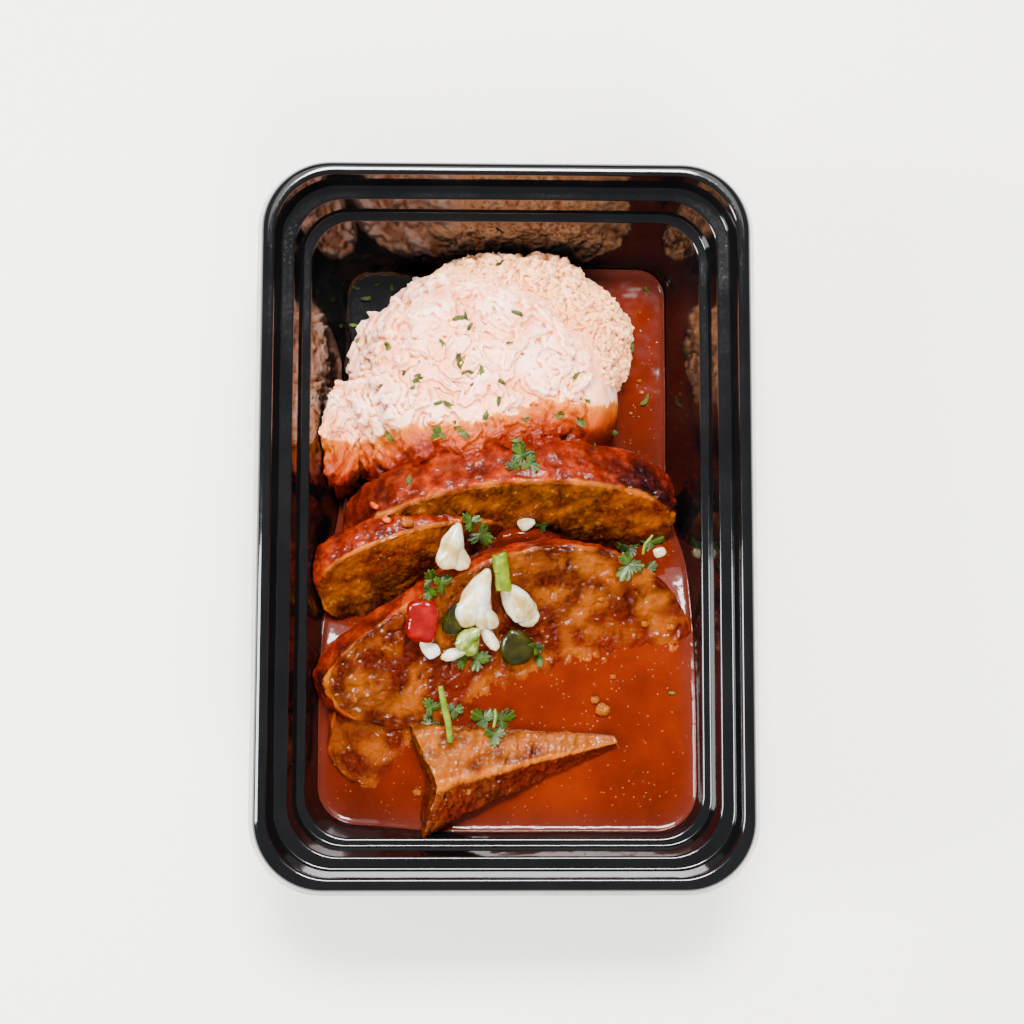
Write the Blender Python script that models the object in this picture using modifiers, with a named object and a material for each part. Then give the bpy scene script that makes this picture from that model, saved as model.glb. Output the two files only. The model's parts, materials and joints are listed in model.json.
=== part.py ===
"""Meatloaf meal in its black meal-prep tray.

Five slices of glazed meatloaf lie in tomato gravy, two heaps of mashed potato and a torn
flake of it stand behind them, and a diced garnish lies on the middle slice. The origin is under the middle of the
tray, +Y runs to the mash and +Z is up. Sizes below are in millimetres; add_solid turns them
to metres.
"""

from math import pi, radians

import bmesh
import bpy
import numpy as np
from mathutils import Euler, Vector

MM = 0.001
GAP = 0.35              # clearance between neighbours
MEAL = "meatloaf_meal"

# Tray: thermoformed polypropylene, one sheet
TRAY_WIDTH = 152.4
TRAY_LENGTH = 222.2
TRAY_HEIGHT = 57.0
TRAY_WALL = 0.8
TRAY_CORNER = 22.0      # outer corner radius, which shrinks with the inset
CORNER_SHRINK = 0.56
CORNER_STEPS = 5
# (inset from the outer edge, height) of the upper surface, from the skirt over the bead,
# the lid ledge and the shoulder to the floor
TRAY_PROFILE = (
    (0.0, 49.0),
    (0.9, 52.6),
    (2.8, 56.0),
    (4.7, TRAY_HEIGHT),
    (5.9, 56.3),
    (6.5, 54.6),
    (7.1, 49.2),
    (7.8, 47.6),
    (10.7, 47.6),
    (11.4, 46.4),
    (12.5, 39.4),
    (13.2, 38.2),
    (14.6, 37.8),
    (15.6, 36.4),
    (22.8, 4.6),
    (23.6, 2.2),
    (25.6, TRAY_WALL),
)
LEDGE = 7                # the profile's points from here on face the food
FLOOR = TRAY_WALL + GAP
SPACE_TOP = 80.0        # the cutter that stands for the tray's inside ends well above it

# Meatloaf slices
RING_POINTS = 30
BASE_POWER = 2.5        # squareness of a slice's flat base
# (inset from the outline, share of the thickness behind the cut face) of the crust
CRUST_PROFILE = (
    (6.0, 1.00),
    (1.8, 0.95),
    (0.2, 0.78),
    (-0.6, 0.50),
    (0.0, 0.22),
    (0.8, 0.05),
    (2.2, 0.00),
)
FACE_SHARES = (0.7, 0.35, 0.08)

# Mash
MASH_RING_POINTS = 34
MASH_RINGS = 10

GRAVY_STEPS = 17


def clear_scene():
    """Remove every object that the file opens with."""
    for thing in list(bpy.data.objects):
        bpy.data.objects.remove(thing, do_unlink=True)


def new_collection(name):
    """Add a collection to the scene."""
    group = bpy.data.collections.new(name)
    bpy.context.scene.collection.children.link(group)
    return group


def plain_material(name, colour, roughness):
    """Principled material of one linear colour."""
    stuff = bpy.data.materials.new(name)
    stuff.use_nodes = True
    shader = stuff.node_tree.nodes["Principled BSDF"]
    shader.inputs["Base Color"].default_value = (*colour, 1.0)
    shader.inputs["Roughness"].default_value = roughness
    shader.inputs["Metallic"].default_value = 0.0
    stuff.diffuse_color = (*colour, 1.0)
    return stuff


def skin_rings(rings, cap_first=True, cap_last=True):
    """Faces that join equal rings of points in turn, with a flat cap at either end."""
    rows, columns, _ = rings.shape
    here = np.arange(columns)
    ahead = (here + 1) % columns
    faces = []
    for row in range(rows - 1):
        low, high = row * columns, (row + 1) * columns
        faces += np.stack((low + here, low + ahead, high + ahead, high + here), axis=1).tolist()
    if cap_first:
        faces.append(here[::-1].tolist())
    if cap_last:
        faces.append((here + (rows - 1) * columns).tolist())
    return rings.reshape(-1, 3), faces


def add_solid(name, points, faces, material, group, closed=True):
    """Object from points in millimetres. A closed skin gets outward normals, and triangles,
    so that a grown copy of it bends along the same edges."""
    mesh = bpy.data.meshes.new(name)
    mesh.from_pydata((np.asarray(points) * MM).tolist(), [], faces)
    mesh.materials.append(material)
    if closed:
        shell = bmesh.new()
        shell.from_mesh(mesh)
        bmesh.ops.recalc_face_normals(shell, faces=shell.faces)
        bmesh.ops.triangulate(shell, faces=shell.faces)
        shell.to_mesh(mesh)
        shell.free()
    mesh.shade_smooth()
    thing = bpy.data.objects.new(name, mesh)
    group.objects.link(thing)
    return thing


def place(thing, centre, lean=0.0, roll=0.0, turn=0.0):
    """Put an object at a place in millimetres, turned about X, Y and Z in degrees."""
    thing.location = Vector(centre) * MM
    thing.rotation_euler = Euler((radians(lean), radians(roll), radians(turn)))
    return thing


def ripple(angles, size, seed, first=2, last=6):
    """Uneven edge: a few sine waves round the ring, each with a seeded phase."""
    phases = np.random.RandomState(seed).uniform(0.0, 2.0 * pi, last + 1)
    waves = [np.sin(k * angles + phases[k]) / k for k in range(first, last + 1)]
    return size * np.sum(waves, axis=0)


def swollen_copy(source, gap, group):
    """Cutter: a copy of a solid, grown by the gap along its normals."""
    mesh = source.data.copy()
    shell = bmesh.new()
    shell.from_mesh(mesh)
    shell.normal_update()
    for corner in shell.verts:
        corner.co += corner.normal * gap * MM
    shell.to_mesh(mesh)
    shell.free()
    cutter = bpy.data.objects.new(source.name + "_cutter", mesh)
    cutter.matrix_world = source.matrix_basis.copy()
    cutter.hide_render = True
    cutter.display_type = "WIRE"
    group.objects.link(cutter)
    return cutter


def boolean(target, cutter, operation, solver="EXACT"):
    """Boolean modifier on the target."""
    step = target.modifiers.new(operation.lower() + "_" + cutter.name, "BOOLEAN")
    step.operation = operation
    step.solver = solver
    step.object = cutter


# --- tray --------------------------------------------------------------------


def tray_loop(inset, height):
    """Rounded rectangle of the tray at one inset and height, anticlockwise."""
    half_x = TRAY_WIDTH / 2.0 - inset
    half_y = TRAY_LENGTH / 2.0 - inset
    radius = TRAY_CORNER - CORNER_SHRINK * inset
    turn = np.linspace(0.0, pi / 2.0, CORNER_STEPS + 1)
    corners = []
    for quarter, (side_x, side_y) in enumerate(((1, 1), (-1, 1), (-1, -1), (1, -1))):
        angles = turn + quarter * pi / 2.0
        corners.append(np.stack((side_x * (half_x - radius) + radius * np.cos(angles),
                                 side_y * (half_y - radius) + radius * np.sin(angles),
                                 np.full(angles.shape, height)), axis=1))
    return np.concatenate(corners)


def make_tray(group, material):
    """Open sheet along the profile, thickened below and outside."""
    rings = np.stack([tray_loop(inset, height) for inset, height in TRAY_PROFILE])
    points, faces = skin_rings(rings, cap_first=False)
    tray = add_solid("tray", points, faces, material, group, closed=False)
    wall = tray.modifiers.new("wall", "SOLIDIFY")
    wall.thickness = TRAY_WALL * MM
    wall.offset = -1.0
    return tray


def make_tray_space(group, material):
    """Cutter: the room inside the tray, a gap short of its walls and floor."""
    inside = [(inset, height) for inset, height in TRAY_PROFILE[LEDGE:]]
    rings = [tray_loop(inside[0][0] + GAP, SPACE_TOP)]
    rings += [tray_loop(inset + GAP, height + GAP) for inset, height in inside]
    points, faces = skin_rings(np.stack(rings))
    space = add_solid("tray_space", points, faces, material, group)
    space.hide_render = True
    space.display_type = "WIRE"
    return space


# --- meatloaf ----------------------------------------------------------------


def loaf_outline(angles, half_width, rise, drop, crown, arch, seed):
    """D-shaped section of the loaf: an arch of one power above its widest line and a
    squarer base below it, with an uneven edge. crown moves the arch's top sideways."""
    across, up = np.cos(angles), np.sin(angles)
    power = np.where(up >= 0.0, arch, BASE_POWER)
    reach = (np.abs(across) ** power + np.abs(up) ** power) ** (-1.0 / power)
    reach = reach * (1.0 + ripple(angles, 0.035, seed))
    height = np.where(up >= 0.0, rise, drop)
    side = half_width * across * reach + crown * np.clip(up * reach, 0.0, 1.0)
    return np.stack((side, height * up * reach), axis=1)


def face_hollow(flat, size, sag):
    """How far a slice's cut face sags below its rim: a bowl that ends at the rim."""
    reach = np.linalg.norm(flat / (size[0], max(size[1:3])), axis=-1)
    return sag * np.clip(1.0 - reach ** 2, 0.0, 1.0)


def make_slice(name, size, thickness, arch, slant, sag, seed, group, material):
    """Slab cut from the loaf, its cut face up in its own frame at z = 0, x across the loaf
    and y to its crown. size is the half width, the rise to the crown, the drop to the base
    and the crown's offset. slant moves the cut face against the back."""
    half_width, rise, drop, crown = size
    angles = np.linspace(0.0, 2.0 * pi, RING_POINTS, endpoint=False)
    outline = loaf_outline(angles, half_width, rise, drop, crown, arch, seed)
    length = np.linalg.norm(outline, axis=1, keepdims=True)
    centre = np.array((0.0, (rise - drop) / 2.0))

    def ring(flat, share):
        """Ring at one share of the thickness behind the cut face."""
        shift = np.array(slant) * (0.5 - share)
        depth = -share * thickness - face_hollow(flat, size, sag) * (1.0 - share)
        return np.column_stack((flat + shift, depth))

    rings = [ring(centre + 0.4 * (outline - centre), 1.0)]
    for inset, share in CRUST_PROFILE:
        rings.append(ring(outline * (1.0 - inset / length), share))
    rings += [ring(centre + share * (outline - centre), 0.0) for share in FACE_SHARES]
    points, faces = skin_rings(np.stack(rings))
    return add_solid(name, points, faces, material, group)


def make_front_slice(group, material):
    """Broken end of a slice: a wedge lofted from its broad left end to its right tip. Each
    section is a rounded five-sided outline, set by its corners: the rear edge of the top,
    its front ridge, the foot of the front slope and two under the gravy."""
    left = np.array(((-29.0, -61.0, 39.0), (-20.0, -80.0, 41.0), (-25.0, -97.5, 37.0),
                     (-27.0, -88.0, 2.0), (-29.0, -64.0, 2.0)))
    right = np.array(((34.0, -65.0, 33.5), (35.0, -67.0, 34.5), (33.0, -70.0, 31.0),
                      (30.0, -69.0, 16.0), (31.0, -65.0, 16.0)))
    rings = []
    for t in np.linspace(0.0, 1.0, 10):
        corners = left + (right - left) * (t, t ** 0.85, t ** 0.85)
        pull = 0.16
        nearer = np.roll(corners, 1, axis=0) * pull + corners * (1.0 - pull)
        farther = np.roll(corners, -1, axis=0) * pull + corners * (1.0 - pull)
        rounded = 0.25 * (nearer + farther) + 0.5 * corners
        rings.append(np.stack((nearer, rounded, farther), axis=1).reshape(-1, 3))
    points, faces = skin_rings(np.stack(rings))
    return add_solid("slice_front", points, faces, material, group)


# --- mash --------------------------------------------------------------------


def make_heap(name, radii, height, side_power, top_power, seed, bumps, group, material,
              ring_points=MASH_RING_POINTS):
    """Heap of mash on the floor: rings run out under it, up its side and over its top. The
    height falls with the distance r from the middle as (1 - r ** side) ** (1 / top)."""
    angles = np.linspace(0.0, 2.0 * pi, ring_points, endpoint=False)
    edge = 1.0 + ripple(angles, bumps, seed, first=3, last=9)
    rings = [np.column_stack((0.6 * radii[0] * edge * np.cos(angles),
                              0.6 * radii[1] * edge * np.sin(angles),
                              np.full(angles.shape, FLOOR)))]
    shares = np.sin(np.linspace(pi / 2.0, 0.05, MASH_RINGS))
    for share in shares:
        lift = height * (1.0 - share ** side_power) ** (1.0 / top_power)
        lump = ripple(angles + 2.0 * share, 1.1, seed + 1, first=3, last=8) * share
        lump = lump * (share < 0.97)
        rings.append(np.column_stack((share * radii[0] * edge * np.cos(angles),
                                      share * radii[1] * edge * np.sin(angles),
                                      FLOOR + lift + lump)))
    points, faces = skin_rings(np.stack(rings))
    return add_solid(name, points, faces, material, group)


# --- gravy -------------------------------------------------------------------


def gravy_level(x, y):
    """Height of the thick gravy: deep at the near end and low beside the mash, lower along
    the left wall. A puddle is dammed up between the back and the middle slice, and the gap
    between these two is drained at either end."""
    stations = (-120.0, -60.0, -39.0, -22.0, -10.0, 5.0, 18.0, 120.0)
    levels = (31.0, 31.0, 29.5, 26.0, 22.5, 8.0, 4.0, 4.0)
    level = np.interp(y, stations, levels)
    near = np.clip((20.0 - y) / 40.0, 0.0, 1.0)
    left = np.clip((-x - 12.0) / 40.0, 0.0, 1.0)
    level = level - 6.5 * near * left ** 2 * (3.0 - 2.0 * left)
    puddle = 14.0 * np.exp(-((x - 5.0) / 14.0) ** 2 - ((y + 1.0) / 6.0) ** 2)
    left_drain = 10.0 * np.exp(-((x + 40.0) / 14.0) ** 2 - ((y + 21.0) / 8.0) ** 2)
    right_drain = 11.0 * np.exp(-((x - 32.0) / 11.0) ** 2 - ((y + 8.0) / 7.0) ** 2)
    return level + puddle - left_drain - right_drain


def make_gravy(group, material):
    """Block with the gravy's top, later trimmed to the tray and the food in it."""
    half_x, half_y, under = TRAY_WIDTH / 2.0 - 8.0, TRAY_LENGTH / 2.0 - 8.0, -4.0
    columns = np.linspace(-half_x, half_x, GRAVY_STEPS)
    rows = np.linspace(-half_y, half_y, int(GRAVY_STEPS * 1.5))
    grid_x, grid_y = np.meshgrid(columns, rows)
    top = np.stack((grid_x, grid_y, gravy_level(grid_x, grid_y)), axis=2).reshape(-1, 3)
    wide, deep = len(columns), len(rows)
    here = (np.arange(deep - 1)[:, None] * wide + np.arange(wide - 1)).ravel()
    faces = np.stack((here, here + 1, here + wide + 1, here + wide), axis=1).tolist()
    border = np.concatenate((np.arange(wide), np.arange(2 * wide - 1, deep * wide, wide),
                             np.arange(deep * wide - 2, (deep - 1) * wide - 1, -1),
                             np.arange((deep - 2) * wide, 0, -wide)))
    foot = top[border] * (1.0, 1.0, 0.0) + (0.0, 0.0, under)
    below = np.arange(len(border)) + len(top)
    faces += np.stack((border, np.roll(border, -1), np.roll(below, -1), below), axis=1).tolist()
    faces.append(below.tolist())
    return add_solid("gravy", np.concatenate((top, foot)), faces, material, group)


# --- garnish -----------------------------------------------------------------


def make_petal(name, size, curl, group, material, taper=0.5):
    """Flake of an onion layer or a pepper wall: an oval plate of a length, width and
    thickness, bent down at its edges by curl and narrowed towards its far end."""
    length, width, thickness = size
    angles = np.linspace(0.0, 2.0 * pi, 12, endpoint=False)
    rings = []
    for side, share in ((-1.0, 0.45), (-1.0, 0.93), (1.0, 0.93), (1.0, 0.45)):
        across = np.cos(angles) * share
        ahead = np.sin(angles) * share
        bend = curl * (across ** 2 + 0.6 * ahead ** 2)
        x = across * (1.0 - taper * 0.5 * (1.0 + ahead)) * width / 2.0
        rings.append(np.column_stack((x, ahead * length / 2.0, side * thickness / 2.0 - bend)))
    points, faces = skin_rings(np.stack(rings))
    return add_solid(name, points, faces, material, group)


def make_dice(name, size, group, material):
    """Knife-cut dice: a cube with bevelled edges."""
    bpy.ops.mesh.primitive_cube_add(size=1.0)
    thing = bpy.context.object
    thing.name = name
    thing.data.name = name
    for old in list(thing.users_collection):
        old.objects.unlink(thing)
    group.objects.link(thing)
    for corner in thing.data.vertices:
        corner.co = Vector(c * s * MM for c, s in zip(corner.co, size))
    thing.data.materials.append(material)
    edge = thing.modifiers.new("edge", "BEVEL")
    edge.width = 1.2 * MM
    edge.segments = 2
    return thing


def make_scallion(group, material):
    """Cut length of a green onion leaf: a tube slit along one side."""
    radius, wall, length, slit = 2.4, 0.9, 11.5, 80.0
    angles = np.radians(np.linspace(slit / 2.0 - 90.0, 270.0 - slit / 2.0, 9))
    outer = np.stack((radius * np.cos(angles), radius * np.sin(angles)), axis=1)
    inner = outer[::-1] * (radius - wall) / radius
    section = np.concatenate((outer, inner))
    rings = [np.column_stack((section[:, 0], np.full(len(section), y), section[:, 1]))
             for y in (-length / 2.0, 0.0, length / 2.0)]
    points, faces = skin_rings(np.stack(rings))
    return add_solid("scallion", points, faces, material, group)


def main():
    clear_scene()
    meal = new_collection(MEAL)
    cutters = new_collection("cutters")

    plastic = plain_material("black_polypropylene", (0.006, 0.006, 0.007), 0.18)
    gravy_stuff = plain_material("tomato_gravy", (0.30, 0.035, 0.006), 0.16)
    meat = plain_material("baked_meatloaf", (0.42, 0.12, 0.015), 0.45)
    potato = plain_material("mashed_potato", (0.83, 0.66, 0.60), 0.6)
    pale_potato = plain_material("coarse_mashed_potato", (0.66, 0.46, 0.36), 0.65)
    tomato = plain_material("diced_tomato", (0.62, 0.03, 0.02), 0.2)
    pepper = plain_material("green_pepper", (0.03, 0.09, 0.01), 0.2)
    leek = plain_material("scallion_leaf", (0.22, 0.50, 0.02), 0.3)
    onion = plain_material("white_onion", (0.76, 0.68, 0.52), 0.25)
    pale_green = plain_material("young_onion", (0.45, 0.55, 0.16), 0.3)

    make_tray(meal, plastic)
    space = make_tray_space(cutters, plastic)

    back = make_slice("slice_back", (52.5, 29.0, 25.0, 4.0), 19.0, 1.9, (0.0, 0.0), 1.0, 3,
                      meal, meat)
    place(back, (2.0, -3.0, 23.5), lean=57.5, turn=4.0)
    middle_size = (58.0, 35.0, 21.0, 15.0)
    middle_sag = 2.5
    middle = make_slice("slice_middle", middle_size, 17.0, 1.75, (5.0, 1.0), middle_sag, 8,
                        meal, meat)
    place(middle, (-1.0, -43.0, 34.4), lean=13.0, roll=5.0, turn=5.7)
    left = make_slice("slice_left", (34.0, 17.0, 28.0, 0.0), 13.0, 1.9, (0.0, 0.0), 1.0, 5,
                      meal, meat)
    place(left, (-26.0, -12.0, 27.0), lean=50.0, roll=12.0, turn=14.0)
    lower = make_slice("slice_lower", (29.0, 24.0, 20.0, 0.0), 22.0, 2.2, (0.0, 0.0), 0.0, 11,
                       meal, meat)
    place(lower, (-26.0, -67.0, 28.5), lean=13.0, roll=4.0, turn=0.0)
    front = make_front_slice(meal, meat)
    scoop = make_heap("mash_scoop", (46.0, 46.0), 41.0, 2.6, 2.2, 21, 0.03, meal, potato)
    place(scoop, (-8.0, 42.0, 0.0))
    behind = make_heap("mash_back", (39.0, 33.0), 29.0, 4.0, 2.6, 33, 0.05, meal, pale_potato)
    place(behind, (3.0, 60.5, 0.0))
    flake = make_heap("mash_flake", (8.0, 18.0), 33.0, 5.0, 3.0, 45, 0.05, meal, potato, 18)
    place(flake, (-52.0, 30.0, 0.0), turn=-6.0)
    gravy = make_gravy(meal, gravy_stuff)

    def lay(thing, across, along, lift, lean=0.0, roll=0.0, turn=0.0):
        """Lay a piece of garnish on the middle slice, a lift above its cut face."""
        sink = face_hollow(np.array((across, along)), middle_size, middle_sag)
        thing.parent = middle
        return place(thing, (across, along, lift - sink), lean, roll, turn)

    lay(make_dice("tomato_dice", (10.0, 12.5, 6.0), meal, tomato), -23.5, 16.5, 4.0, turn=-8.0)
    lay(make_petal("pepper_small", (11.5, 9.0, 2.4), 0.6, meal, pepper, 0.2), -13.0, 16.0, 3.0,
        turn=-25.0)
    lay(make_petal("pepper_large", (12.0, 14.0, 3.2), 1.2, meal, pepper, 0.2), 5.0, 5.0, 3.4,
        turn=20.0)
    lay(make_scallion(meal, leek), 1.8, 29.5, 4.2, turn=3.0)
    lay(make_petal("onion_crest", (13.5, 11.5, 1.8), 1.8, meal, onion), -12.5, 39.0, 4.6,
        lean=-6.0, turn=-20.0)
    lay(make_petal("onion_long", (18.5, 12.0, 1.6), 1.8, meal, onion), -6.6, 22.0, 6.2,
        lean=4.0, turn=-28.0)
    lay(make_petal("onion_right", (12.0, 12.0, 1.8), 1.4, meal, onion, 0.2), 6.0, 19.0, 3.4,
        turn=30.0)
    lay(make_petal("onion_thin", (11.0, 6.5, 1.3), 1.0, meal, onion), -3.6, 9.5, 3.2,
        turn=25.0)
    lay(make_petal("onion_near", (10.0, 5.2, 1.4), 0.8, meal, onion), -13.5, 4.6, 2.4,
        turn=-75.0)
    lay(make_petal("onion_left", (7.5, 6.8, 1.6), 0.6, meal, onion, 0.3), -22.0, 7.0, 2.4,
        turn=40.0)
    lay(make_petal("onion_green", (9.5, 7.0, 1.4), 0.8, meal, pale_green, 0.2), -10.0, 9.6,
        6.4, lean=5.0, turn=-50.0)

    bpy.context.view_layer.update()
    shapes = {thing.name: swollen_copy(thing, GAP, cutters)
              for thing in (back, middle, left, lower, front, scoop, behind, flake)}
    corner = make_dice("bare_floor", (60.0, 60.0, 30.0), cutters, plastic)
    corner.modifiers.clear()
    place(corner, (-38.0, 68.0, 0.0))
    corner.hide_render = True
    corner.display_type = "WIRE"
    shapes[corner.name] = corner
    cuts = (
        (back, ()),
        (middle, ("slice_back",)),
        (left, ("slice_back", "slice_middle")),
        (front, ("slice_middle",)),
        (lower, ("slice_middle", "slice_left", "slice_front")),
        (scoop, ("slice_back",)),
        (behind, ("mash_scoop", "slice_back")),
        (flake, ("mash_scoop", "slice_back")),
        (gravy, tuple(shapes)),
    )
    for target, names in cuts:
        # the gravy meets every other piece, which is more than the exact solver bears
        solver = "MANIFOLD" if target is gravy else "EXACT"
        boolean(target, space, "INTERSECT", solver)
        for name in names:
            boolean(target, shapes[name], "DIFFERENCE", solver)


main()
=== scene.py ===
import json
from math import pi, radians

import bpy
import numpy as np
from mathutils import Euler, Matrix, Vector
from mathutils.bvhtree import BVHTree

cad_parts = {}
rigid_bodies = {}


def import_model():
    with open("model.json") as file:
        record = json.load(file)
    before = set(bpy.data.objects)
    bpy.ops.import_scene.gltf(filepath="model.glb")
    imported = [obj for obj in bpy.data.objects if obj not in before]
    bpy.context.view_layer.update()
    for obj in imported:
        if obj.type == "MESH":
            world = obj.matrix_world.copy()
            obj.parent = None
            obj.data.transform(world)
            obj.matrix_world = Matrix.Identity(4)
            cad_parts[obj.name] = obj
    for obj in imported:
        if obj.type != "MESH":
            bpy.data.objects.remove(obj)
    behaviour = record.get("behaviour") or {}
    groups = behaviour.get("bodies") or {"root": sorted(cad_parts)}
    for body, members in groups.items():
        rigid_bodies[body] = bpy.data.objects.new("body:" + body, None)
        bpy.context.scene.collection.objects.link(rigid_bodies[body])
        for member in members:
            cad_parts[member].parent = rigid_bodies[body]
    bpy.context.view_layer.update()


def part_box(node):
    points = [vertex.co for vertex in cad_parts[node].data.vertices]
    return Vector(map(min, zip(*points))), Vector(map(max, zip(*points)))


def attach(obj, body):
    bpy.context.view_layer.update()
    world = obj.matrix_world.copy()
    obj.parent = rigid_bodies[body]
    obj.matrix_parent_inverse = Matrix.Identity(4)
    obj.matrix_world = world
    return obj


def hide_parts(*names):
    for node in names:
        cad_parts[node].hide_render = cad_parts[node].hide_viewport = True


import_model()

# The meal stands in its tray, +Y towards the mash. Lengths are millimetres until a mesh is
# made; every finished object sits at the origin with its place in its mesh.


# === Tray =====================================================================
# A rectangular meal-prep tray, thermoformed from one sheet of black polypropylene: a
# sloping skirt, a rounded bead, a ledge for the lid, a narrow shoulder and a tapered well.
# The sheet follows a rounded profile carried round a rounded rectangle.

MM = 0.001
tray_low, tray_high = (np.array(corner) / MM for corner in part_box("tray"))
TRAY_HALF = (tray_high - tray_low)[:2] / 2.0
TRAY_TOP = tray_high[2]
TRAY_WALL = 0.8
TRAY_CORNER = 22.0
CORNER_SHRINK = 0.56
LEAST_CORNER = 0.5
# rings that carry the flat floor on, towards its middle
FLOOR_INSETS = (38.0, 55.0)
# corners of the sheet's upper surface: inset from the outer edge, height, fillet radius
TRAY_PROFILE = (
    (0.0, 49.0, 0.0),
    (2.7, TRAY_TOP, 2.6),
    (6.2, TRAY_TOP, 1.0),
    (7.2, 47.6, 0.8),
    (11.1, 47.6, 0.8),
    (12.8, 38.1, 0.7),
    (15.3, 37.8, 0.9),
    (22.9, TRAY_WALL, 3.2),
    (34.0, TRAY_WALL, 0.0),
)
# well of the same profile, for what fills or touches it: inset against height
WELL_INSETS = (24.6, 22.7, 15.5, 12.9, 11.2)
WELL_HEIGHTS = (TRAY_WALL, 4.0, 36.6, 38.1, 47.0)
# undersides of the food, and its distance from the walls
FLOOR = TRAY_WALL + 0.35
WALL_GAP = 0.4


def linear(hex_colour):
    """sRGB hex to a linear colour with alpha 1."""
    value = np.array([int(hex_colour[k:k + 2], 16) for k in (1, 3, 5)]) / 255.0
    low = value / 12.92
    high = ((value + 0.055) / 1.055) ** 2.4
    return (*np.where(value <= 0.04045, low, high), 1.0)


def per_mm(length):
    """Texture scale on Object coordinates whose pattern repeats about every length."""
    return 1.0 / (length * MM)


def new_material(name):
    """Empty node material with a Principled shader joined to its output."""
    stuff = bpy.data.materials.new(name)
    stuff.use_nodes = True
    tree = stuff.node_tree
    return stuff, tree, tree.nodes["Principled BSDF"]


def add_node(tree, kind, inputs=None, **settings):
    """Add a node, set its properties, then fill each named input or link it to a socket."""
    node = tree.nodes.new("ShaderNode" + kind)
    for key, value in settings.items():
        setattr(node, key, value)
    for key, value in (inputs or {}).items():
        if isinstance(value, bpy.types.NodeSocket):
            tree.links.new(value, node.inputs[key])
        else:
            node.inputs[key].default_value = value
    return node


def ramp(tree, factor, stops):
    """Colour ramp through (position, hex colour) stops."""
    node = add_node(tree, "ValToRGB", {"Fac": factor})
    scale = node.color_ramp
    scale.elements[0].position, scale.elements[0].color = stops[0][0], linear(stops[0][1])
    scale.elements[1].position, scale.elements[1].color = stops[-1][0], linear(stops[-1][1])
    for position, colour in stops[1:-1]:
        scale.elements.new(position).color = linear(colour)
    return node.outputs["Color"]


def span(tree, value, low, high, start=0.0, end=1.0):
    """Clamped linear map of a value from low..high to start..end."""
    node = add_node(tree, "MapRange", {"Value": value, "From Min": low, "From Max": high,
                                       "To Min": start, "To Max": end})
    return node.outputs["Result"]


def combine(tree, operation, first, second):
    """Two values put together by a math operation."""
    return add_node(tree, "Math", {0: first, 1: second}, operation=operation).outputs[0]


def blend_colour(tree, factor, first, second, kind="MIX"):
    """Mix of two colours, each a hex value or a socket."""
    node = add_node(tree, "Mix", data_type="RGBA", blend_type=kind)
    for socket, value in zip((node.inputs[0], node.inputs[6], node.inputs[7]),
                             (factor, first, second)):
        if isinstance(value, bpy.types.NodeSocket):
            tree.links.new(value, socket)
        else:
            socket.default_value = linear(value) if isinstance(value, str) else value
    return node.outputs[2]


def tint(tree, colour, over, value, low, high, start=0.0, end=1.0, kind="MIX"):
    """Colour laid over with another by a share that follows a value, as span maps it."""
    return blend_colour(tree, span(tree, value, low, high, start, end), colour, over, kind)


def set_shader(tree, shader, **inputs):
    """Fill or link the Principled shader's inputs; underscores stand for spaces."""
    for key, value in inputs.items():
        socket = shader.inputs[key.replace("_", " ")]
        if isinstance(value, bpy.types.NodeSocket):
            tree.links.new(value, socket)
        else:
            socket.default_value = value


def object_place(tree):
    """Object coordinates."""
    return add_node(tree, "TexCoord").outputs["Object"]


def paint_value(tree, name):
    """Value painted on a piece's points under a name."""
    return add_node(tree, "Attribute", attribute_name=name).outputs["Fac"]


def noise(tree, place, size, detail=4.0, roughness=0.55, distortion=0.0):
    """Noise texture whose features are about size millimetres across."""
    node = add_node(tree, "TexNoise", {"Vector": place, "Scale": per_mm(size), "Detail": detail,
                                       "Roughness": roughness, "Distortion": distortion})
    return node.outputs["Fac"]


def bump(tree, height, depth, under=None):
    """Bump of a height field whose full range stands depth millimetres proud."""
    inputs = {"Height": height, "Distance": depth * MM, "Strength": 1.0}
    if under is not None:
        inputs["Normal"] = under
    return add_node(tree, "Bump", inputs).outputs["Normal"]


def clamp(value):
    """Value held between 0 and 1."""
    return np.clip(value, 0.0, 1.0)


def full_turn(count):
    """Equal angles once round."""
    return np.linspace(0.0, 2.0 * pi, count, endpoint=False)


def joined(*axes):
    """Points from their coordinates, spread to one shape."""
    return np.stack(np.broadcast_arrays(*axes), axis=-1)


def placed(points, place):
    """Points moved by a 4 x 4 matrix."""
    return points @ place[:3, :3].T + place[:3, 3]


def grid_faces(rows, columns, first_cap, last_cap):
    """Quads between rings of points. A cap fans its ring to one more point."""
    row, column = np.meshgrid(np.arange(rows - 1), np.arange(columns), indexing="ij")
    ahead = (column + 1) % columns
    quads = np.stack((row * columns + column, row * columns + ahead,
                      (row + 1) * columns + ahead, (row + 1) * columns + column), axis=-1)
    quads = quads.reshape(-1, 4)
    fans = []
    ring = np.arange(columns)
    pole = rows * columns
    if first_cap:
        fans.append(np.stack((np.roll(ring, -1), ring, np.full(columns, pole)), axis=1))
        pole += 1
    if last_cap:
        last = (rows - 1) * columns + ring
        fans.append(np.stack((last, np.roll(last, -1), np.full(columns, pole)), axis=1))
    return quads, fans


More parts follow.
